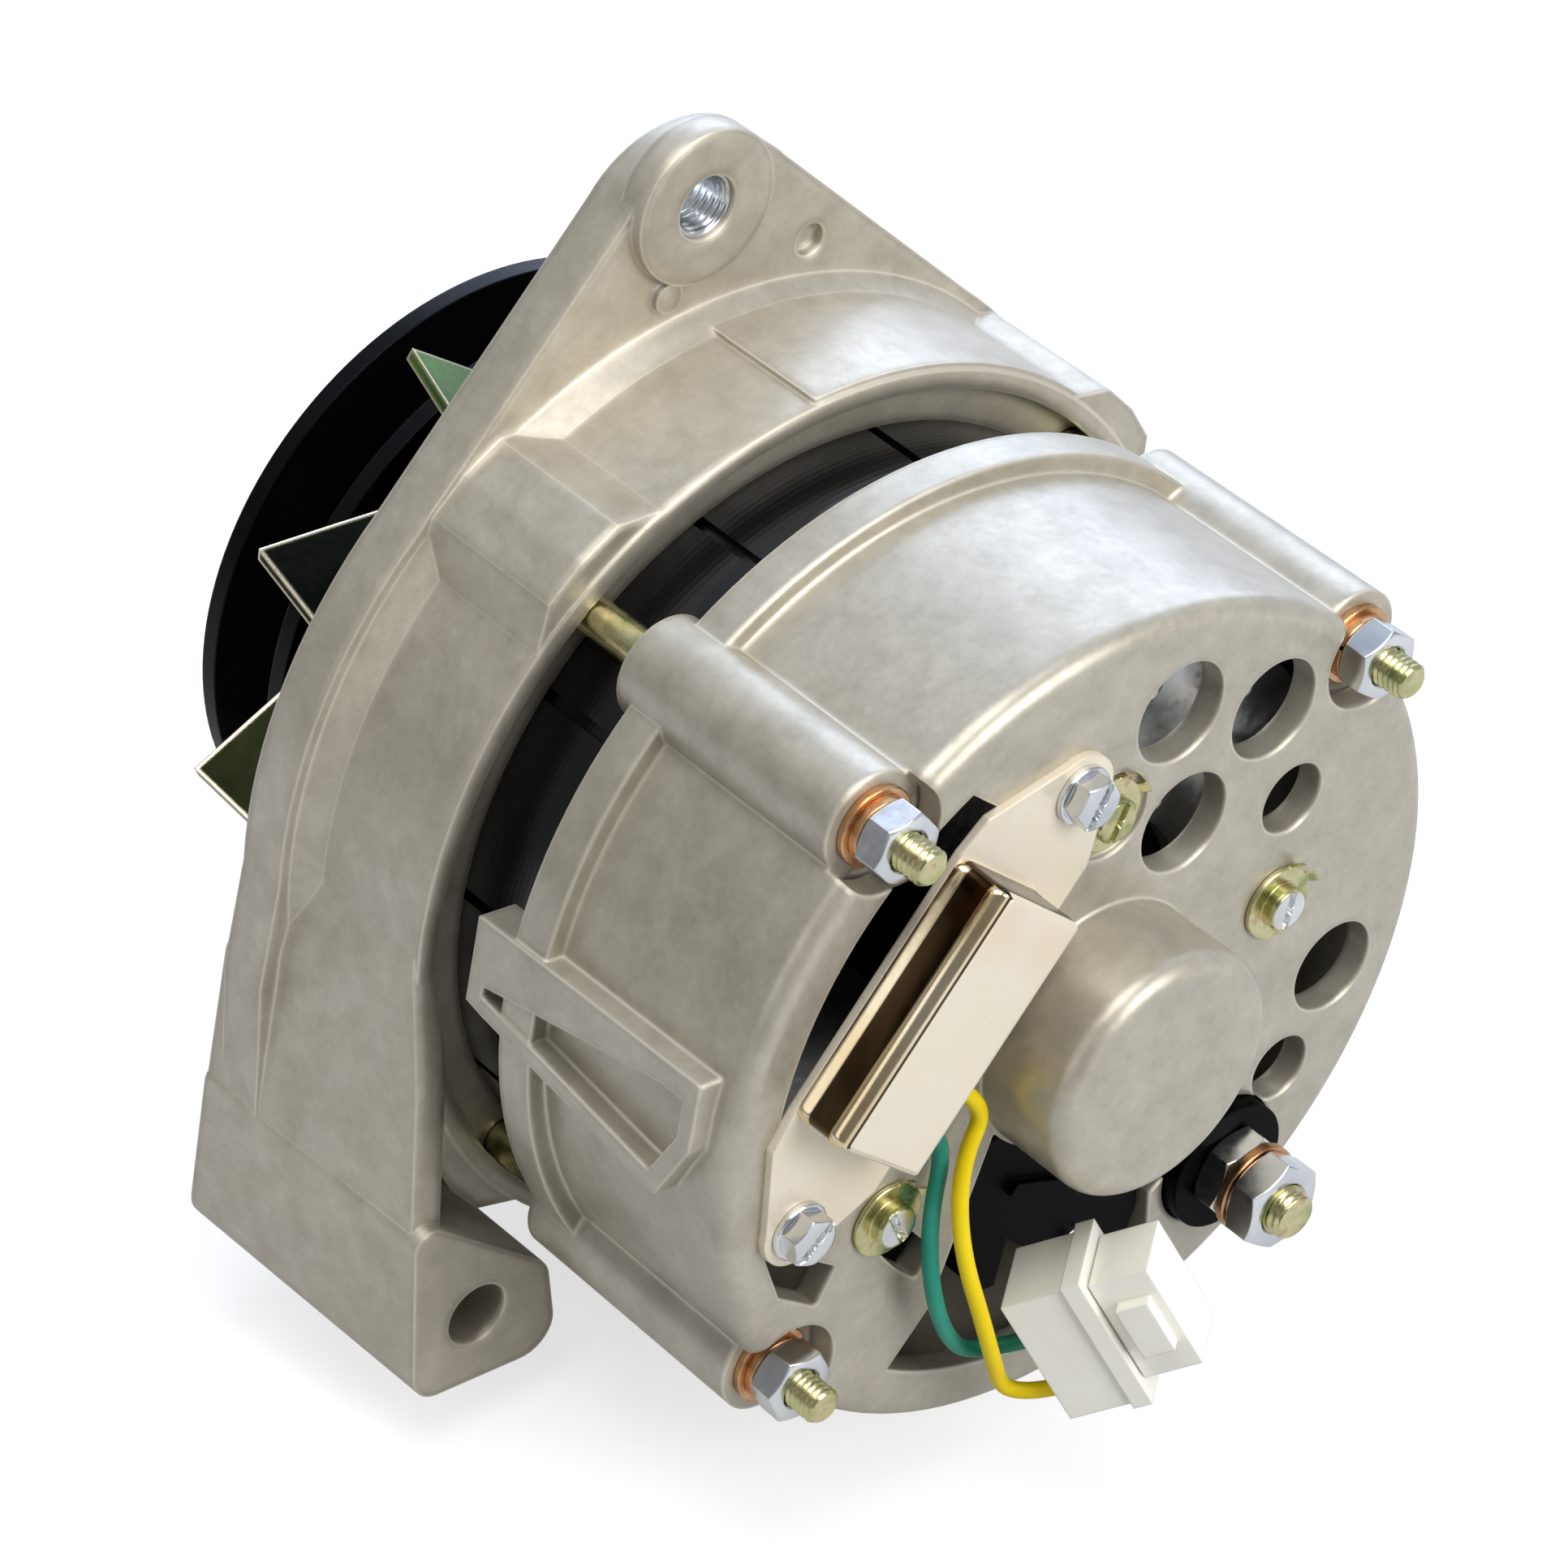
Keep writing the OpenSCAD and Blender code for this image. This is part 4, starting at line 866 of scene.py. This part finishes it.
bm = bmesh.new()
for mid in RING_MIDDLES:
    for k in range(STRANDS):
        angles = [2 * math.pi * i / STRAND_STEPS for i in range(STRAND_STEPS + 1)]
        lofted(bm, [strand_loop(k, a, mid) for a in angles])
finish("winding_strands", bm, "housing", "copper_wire", sharp=70)

# %% [markdown]
# ## Lug insert
# A steel sleeve with a thread is pressed into the top lug, where the belt's adjusting arm is bolted
# on. Its thread faces inwards. Turning a solid thread and cutting it out would need a boolean, but
# an inner thread is the same wave with its radius counted back from a larger one.

# %% Lug insert
LUG = (3, 92)
SLEEVE_R = 5.08
SLEEVE_BORE = 4.6
SLEEVE = (-96, -86.8)
MIRROR_R = 8.5
bm = bmesh.new()
inner = [(lambda a, r=r: MIRROR_R - r(a), z)
         for r, z in thread_rings(4.5, 0.5, 1.25, -95.6, -87.2, 0.2)]
turned(bm, [(SLEEVE_R, SLEEVE[0]), (SLEEVE_R, SLEEVE[1]), (SLEEVE_BORE, SLEEVE[1])] + inner[::-1]
       + [(SLEEVE_BORE, SLEEVE[0]), (SLEEVE_R, SLEEVE[0])], LUG)
finish("insert_thread", bm, "housing", "zinc_steel", ["lug_thread_insert"])

# %% [markdown]
# ## Slots
# Most screws here have a slot across the head. A slot could be cut with a boolean, or modelled by
# moving faces by hand. The heads are turned pieces, so a slot is only a rule for the height: the top
# of the head drops wherever a point lies within half the slot's width of the middle line.

# %% Slots


def slotted_top(radii, z, depth, half):
    """Rings of a screw head's top, from the rim to the middle, with a slot across it."""
    rings = []
    for r in radii:
        rings.append((r, lambda a, r=r: z - depth * (
            abs((r(a) if callable(r) else r) * math.sin(a)) < half)))
    return rings


def scaled(fn, k):
    """A function of the angle, made k times as large."""
    return lambda a: fn(a) * k


# %% [markdown]
# ## Screws with tabbed washers
# Three round screws on the rear face hold the rectifier inside. Each sits on a gilded washer with
# two ears bent up at its side. A washer with ears could be cut from sheet in one piece. Here the
# ears are short bent tongues that start inside the washer, because three simple skins in one piece
# are easier to place than one difficult one. One screw is gilded all over.

# %% Screws with tabbed washers
SCREWS = [((36.4, 2), 0, 75), ((2.7, 36.3), -1, 60), ((-37.6, -14.9), 0, 110)]
HEAD_TURNS = 72
HEAD_RADII = [3.0, 2.6, 2.2, 1.8, 1.4, 1.0, 0.6, 0.3, 0]
HEAD_HEIGHT = 3.0
TAB_SLOT = (0.9, 0.5)
EAR_MIDDLE, EAR_SPREAD = 40, 22
EAR_PATH = ((3.9, 0.1), (5.9, 0.1), (7.0, 1.3))
EAR_SECTION = ((-0.9, 0), (0.9, 0), (0.9, 0.7), (-0.9, 0.7))
SILVER, GILT = 0, 1


def middle_of(loop):
    """A loop shrunk to its middle, which closes the end of a skin."""
    return [tuple(sum(p[i] for p in loop) / len(loop) for i in range(3))] * len(loop)


def add_ear(bm, centre, seat, angle):
    a = math.radians(angle)
    out, side = Vector((math.cos(a), math.sin(a))), Vector((-math.sin(a), math.cos(a)))
    ear = [[(*(Vector(centre) + out * along + side * x), seat + high + z) for x, z in EAR_SECTION]
           for along, high in EAR_PATH]
    lofted(bm, [middle_of(ear[0])] + ear + [middle_of(ear[-1])], GILT)


bm = bmesh.new()
for c, seat, turn in SCREWS:
    washer(bm, 1.9, 6.0, seat + 0.05, seat + 0.9, c, mats=GILT)
    rim = [(0, seat + 0.5), (3.5, seat + 0.5), (3.5, seat + 2.5), (3.2, seat + 2.95)]
    top = slotted_top(HEAD_RADII, seat + HEAD_HEIGHT, *TAB_SLOT)
    turned(bm, rim + top, c, n=HEAD_TURNS, spin=math.radians(turn),
           mats=[GILT] * len(rim) + [GILT if seat else SILVER] * (len(top) - 1))
    for side in (-EAR_SPREAD, EAR_SPREAD):
        add_ear(bm, c, seat, EAR_MIDDLE + side)
finish("tab_washer_screws", bm, "housing", "yellow_zinc", ["tabbed_screws"],
       ["zinc_steel", "yellow_zinc"])

# %% [markdown]
# ## Regulator screws
# Two screws with a hexagon head, a slot and a pressed-on washer hold the regulator by its flange.
# The washer, the head and the shank under it are one outline, so one turned piece makes all three.

# %% Regulator screws
SCREW_AT = 35.7
SCREW_AF = 7
SCREW_TOP = 5.4
HEX_SHARES = (0.84, 0.7, 0.55, 0.4, 0.28, 0.15, 0)
HEX_SLOT = (1.1, 0.5)
head = hexed(SCREW_AF)
bm = bmesh.new()
for side in (-1, 1):
    c = case_plan(side * SCREW_AT, 0)
    rim = [(0, -8.5), (2.4, -8.5), (2.4, 1.5), (4.6, 1.45), (4.6, 2.2), (4.3, 2.4), (head, 2.4),
           (head, chamfered(SCREW_AF, SCREW_TOP, 1))]
    top = slotted_top([scaled(head, k) for k in HEX_SHARES], SCREW_TOP, *HEX_SLOT)
    turned(bm, rim + top, c, n=HEAD_TURNS, spin=math.radians(45 + side * 12))
finish("regulator_hex_screws", bm, "housing", "zinc_steel", ["regulator_screws"])

# %% [markdown]
# ## Regulator can
# The regulator sits under a drawn lid of gilded sheet: a small bend at the flange, straight walls
# and a rolled edge round a flat top. A box with a bevel would turn every edge the same. The lid's
# far wall leans in further than the others, and a dark line runs along it, so rounded oblongs are
# stacked instead, each with its own inset, and the finish changes from row to row. The straight
# walls and one end above the flange are dark brown, a painted dark reflection.

# %% Regulator can
LONG, NEAR, FAR = 21, -5, 16
NEAR_SHARE = 0.35
CORNER_R, CORNER_MIN = 2.2, 0.5
CORNER_STEPS = 6
CAN_MIDDLE = 5.5
PROFILE = [(0.0, 1.4), (0.0, 1.9), (0.3, 2.6), (0.55, 3.3), (0.55, 7.6), (0.4, 8.0), (0.5, 8.7),
           (0.9, 9.5), (1.5, 10.0), (2.0, 10.15), (2.3, 10.1), (2.7, 10.1), (3.0, 10.3), (3.4, 10.3)]
CAN_FINISHES = ["can_edge", "can_wall_dark_reflection", "can_line", "regulator_zinc"]
EDGE, WALL, LINE, LID = range(len(CAN_FINISHES))
# the straight wall's row takes the painted dark reflection
ROWS = [EDGE] * 4 + [WALL] + [EDGE] * 5 + [LINE] * 2 + [LID] * 3
SEAM_WIDTH, LID_FROM = 4, 9.7
END_DEPTH, END_FROM = 0.8, 1.9


def can_loop(inset, z):
    """A rounded oblong. The wall by the bearing hub and both ends turn in less than the far wall."""
    x1 = LONG - NEAR_SHARE * inset
    y0, y1 = NEAR + NEAR_SHARE * inset, FAR - inset
    r = max(CORNER_R - inset, CORNER_MIN)
    corners = ((x1 - r, y1 - r, 0), (-x1 + r, y1 - r, 90), (-x1 + r, y0 + r, 180),
               (x1 - r, y0 + r, 270))
    pts = []
    for cx, cy, start in corners:
        for i in range(CORNER_STEPS + 1):
            a = math.radians(start + 90 * i / CORNER_STEPS)
            pts.append((*case_plan(cx + r * math.cos(a), cy + r * math.sin(a)), z))
    return pts


bm = bmesh.new()
loops = [can_loop(inset, z) for inset, z in PROFILE]
floor_end, lid_end = [[(*case_plan(0, CAN_MIDDLE), z)] * len(loops[0])
                      for z in (PROFILE[0][1], PROFILE[-1][1])]
lofted(bm, [floor_end] + loops + [lid_end], ROWS)
for f in bm.faces:
    # the dark line shows along the far wall only, the top is pale up to the other edges, and one end
    # takes the walls' painted dark reflection
    p = f.calc_center_median()
    across = ((p.y - REG_MID.y) - (p.x - REG_MID.x)) * HALF_ROOT
    along = ((p.y - REG_MID.y) + (p.x - REG_MID.x)) * HALF_ROOT
    if across < FAR - SEAM_WIDTH and p.z > LID_FROM:
        f.material_index = LID
    elif along > LONG - END_DEPTH and p.z > END_FROM:
        f.material_index = WALL
finish("regulator_can", bm, "housing", "regulator_zinc", ["regulator_case"], CAN_FINISHES)

# %% [markdown]
# ## Brush springs
# Behind each carbon brush sits a small coil spring, hidden in the brush holder. The brush can slide
# back until its spring is pressed flat. The spring could ride on the brush, but its other end stays
# in the holder, and a stiff coil would be cut by the brush.

# %% The line of a spring
BRUSH_ANGLE = 135
BRUSH_BACK = 27.05
POCKET_END = 35.2
COIL_R = 1.5
SPRING_WIRE = 0.25
COIL_TURNS = 5
TURN_STEPS = 16
WIRE_SIDES = 8
SPRING_GAP = 0.03
END_PITCH = 2 * SPRING_WIRE * 1.05
FIRST = BRUSH_BACK + SPRING_GAP + SPRING_WIRE
SPAN = POCKET_END - SPRING_GAP - SPRING_WIRE - FIRST


def brush_point(out, side, up):
    """A point by its distance from the rotor axis along the brushes, across them, and up."""
    c, s = polar(1.0, BRUSH_ANGLE)
    return (out * c - side * s, out * s + side * c, up)


def coil_height(t):
    """How far out the wire is after t turns. The first and last turn lie almost flat."""
    if t < 1:
        return FIRST + t * END_PITCH
    if t < COIL_TURNS - 1:
        return FIRST + END_PITCH + (SPAN - 2 * END_PITCH) * (t - 1) / (COIL_TURNS - 2)
    return FIRST + SPAN - (COIL_TURNS - t) * END_PITCH


# %% [markdown]
# A spring's wire is a small circle at each point of that line. The skin starts and ends with a
# circle of no size, which closes it. A pressed spring is half as long as a free one.

# %% Brush springs
INNER_HEIGHT, OUTER_HEIGHT = -18.6, -10.0


def brush_spring(name, height, node):
    steps = COIL_TURNS * TURN_STEPS
    loops = []
    for i in range(-1, steps + 2):
        t = min(max(i, 0), steps) / TURN_STEPS
        wire = SPRING_WIRE if 0 <= i <= steps else 0.0
        a = 2 * math.pi * t
        loop = []
        for k in range(WIRE_SIDES):
            b = 2 * math.pi * k / WIRE_SIDES
            r = COIL_R + wire * math.cos(b)
            loop.append(brush_point(coil_height(t) + wire * math.sin(b), r * math.cos(a),
                                    height + r * math.sin(a)))
        loops.append(loop)
    bm = bmesh.new()
    lofted(bm, loops)
    obj = finish(name, bm, "housing", "zinc_steel", [node])
    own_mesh(obj)


brush_spring("inner_brush_coil", INNER_HEIGHT, "inner_brush_spring")
brush_spring("outer_brush_coil", OUTER_HEIGHT, "outer_brush_spring")

# %% [markdown]
# ## Floor
# The photograph is cut out on white. A white floor lit from above would throw its light up on the
# metal and wash it out. So the floor is grey to the light and takes the shadow, and gives off
# white only where the camera sees it, and a little in reflections. It lies just under the part.

# %% Floor
FLOOR_HALF = 3.0
FLOOR_GAP = 0.0004
FLOOR_GREYS = (0.44, 0.46)
FLOOR_SEEN, FLOOR_MIRRORED = 0.68, 0.16
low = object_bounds()[0]
bm = bmesh.new()
bmesh.ops.create_grid(bm, x_segments=1, y_segments=1, size=FLOOR_HALF)
bmesh.ops.translate(bm, vec=(0, 0, low.z - FLOOR_GAP), verts=bm.verts)
floor_mesh = bpy.data.meshes.new("studio_floor")
bm.to_mesh(floor_mesh)
bm.free()
floor = bpy.data.objects.new("studio_floor", floor_mesh)
scene.collection.objects.link(floor)
m, nt, bsdf = new_material("studio_white")
nt.links.new(ramp(nt, noise(nt, 3), [(0.3, grey(FLOOR_GREYS[0])), (0.7, grey(FLOOR_GREYS[1]))]),
             bsdf.inputs["Base Color"])
bsdf.inputs["Roughness"].default_value = 0.9
rays = nt.nodes.new("ShaderNodeLightPath")
seen = ramp(nt, rays.outputs["Is Camera Ray"], [(0.0, grey(0.0)), (1.0, grey(FLOOR_SEEN))])
mirrored = ramp(nt, rays.outputs["Is Glossy Ray"], [(0.0, grey(0.0)), (1.0, grey(FLOOR_MIRRORED))])
glow = nt.nodes.new("ShaderNodeMath")
glow.operation = "MAXIMUM"
nt.links.new(seen, glow.inputs[0])
nt.links.new(mirrored, glow.inputs[1])
nt.links.new(glow.outputs[0], bsdf.inputs["Emission Strength"])
bsdf.inputs["Emission Color"].default_value = WHITE
dress(floor, m)
print("floor at", round(low.z - FLOOR_GAP, 4), "m")

# %% [markdown]
# ## World
# Smooth metal shows what is round it more than its own colour. An even white world makes it flat,
# and a picture of a real room would put windows in it. A soft ramp across the sky, brightest high
# up beyond the part and a little blue there, gives the castings a pale side and a dim one. The
# camera itself sees plain white.

# %% World
WORLD_STRENGTH = 0.7
BRIGHT_SIDE = (0.64, 0.52, 0.56)
world = bpy.data.worlds.new("studio")
world.use_nodes = True
scene.world = world
wt = world.node_tree
tc = wt.nodes.new("ShaderNodeTexCoord")
aim = wt.nodes.new("ShaderNodeVectorMath")
aim.operation = "DOT_PRODUCT"
aim.inputs[1].default_value = BRIGHT_SIDE
wt.links.new(tc.outputs["Generated"], aim.inputs[0])
sky = ramp(wt, aim.outputs["Value"], [(0.0, grey(0.28)), (0.35, grey(0.5)), (0.8, (0.72, 0.82, 1.0)),
                                      (1.0, (0.80, 0.88, 1.0))])
seen = wt.nodes.new("ShaderNodeLightPath").outputs["Is Camera Ray"]
strength = wt.nodes.new("ShaderNodeMath")
strength.operation = "MAXIMUM"
strength.inputs[0].default_value = WORLD_STRENGTH
wt.links.new(seen, strength.inputs[1])
background = wt.nodes["Background"]
wt.links.new(tinted(wt, seen, sky, grey(1)), background.inputs["Color"])
wt.links.new(strength.outputs[0], background.inputs["Strength"])

# %% [markdown]
# ## Lights
# A small strong lamp would burn white spots into the castings. Four large soft panels are used: a
# bluish one like a window high up beyond the part, a softbox on top, one that faces the rear cover,
# and a weak one that lifts the shadow side. Each is aimed at the part's middle.

# %% Lights
CENTRE = (0.06, 0.0, 0.05)
WINDOW_BLUE = (0.62, 0.74, 1.0)


def area_light(name, place, size, power, tint=grey(1.0)):
    data = bpy.data.lights.new(name, "AREA")
    data.shape = "RECTANGLE"
    data.size, data.size_y = size
    data.energy = power
    data.color = tint
    obj = bpy.data.objects.new(name, data)
    scene.collection.objects.link(obj)
    obj.location = place
    obj.rotation_mode = "QUATERNION"
    obj.rotation_quaternion = (Vector(CENTRE) - Vector(place)).to_track_quat("-Z", "Y")


area_light("window", (0.95, 0.80, 0.62), (1.4, 1.0), 11, WINDOW_BLUE)
area_light("top_softbox", (-0.1, -0.15, 1.15), (0.7, 0.7), 6.8)
area_light("rear_softbox", (0.35, -1.05, 0.6), (0.6, 0.8), 9.5)
area_light("left_softbox", (-0.95, -0.1, 0.55), (0.5, 0.7), 1)
scene.view_settings.view_transform = "Standard"
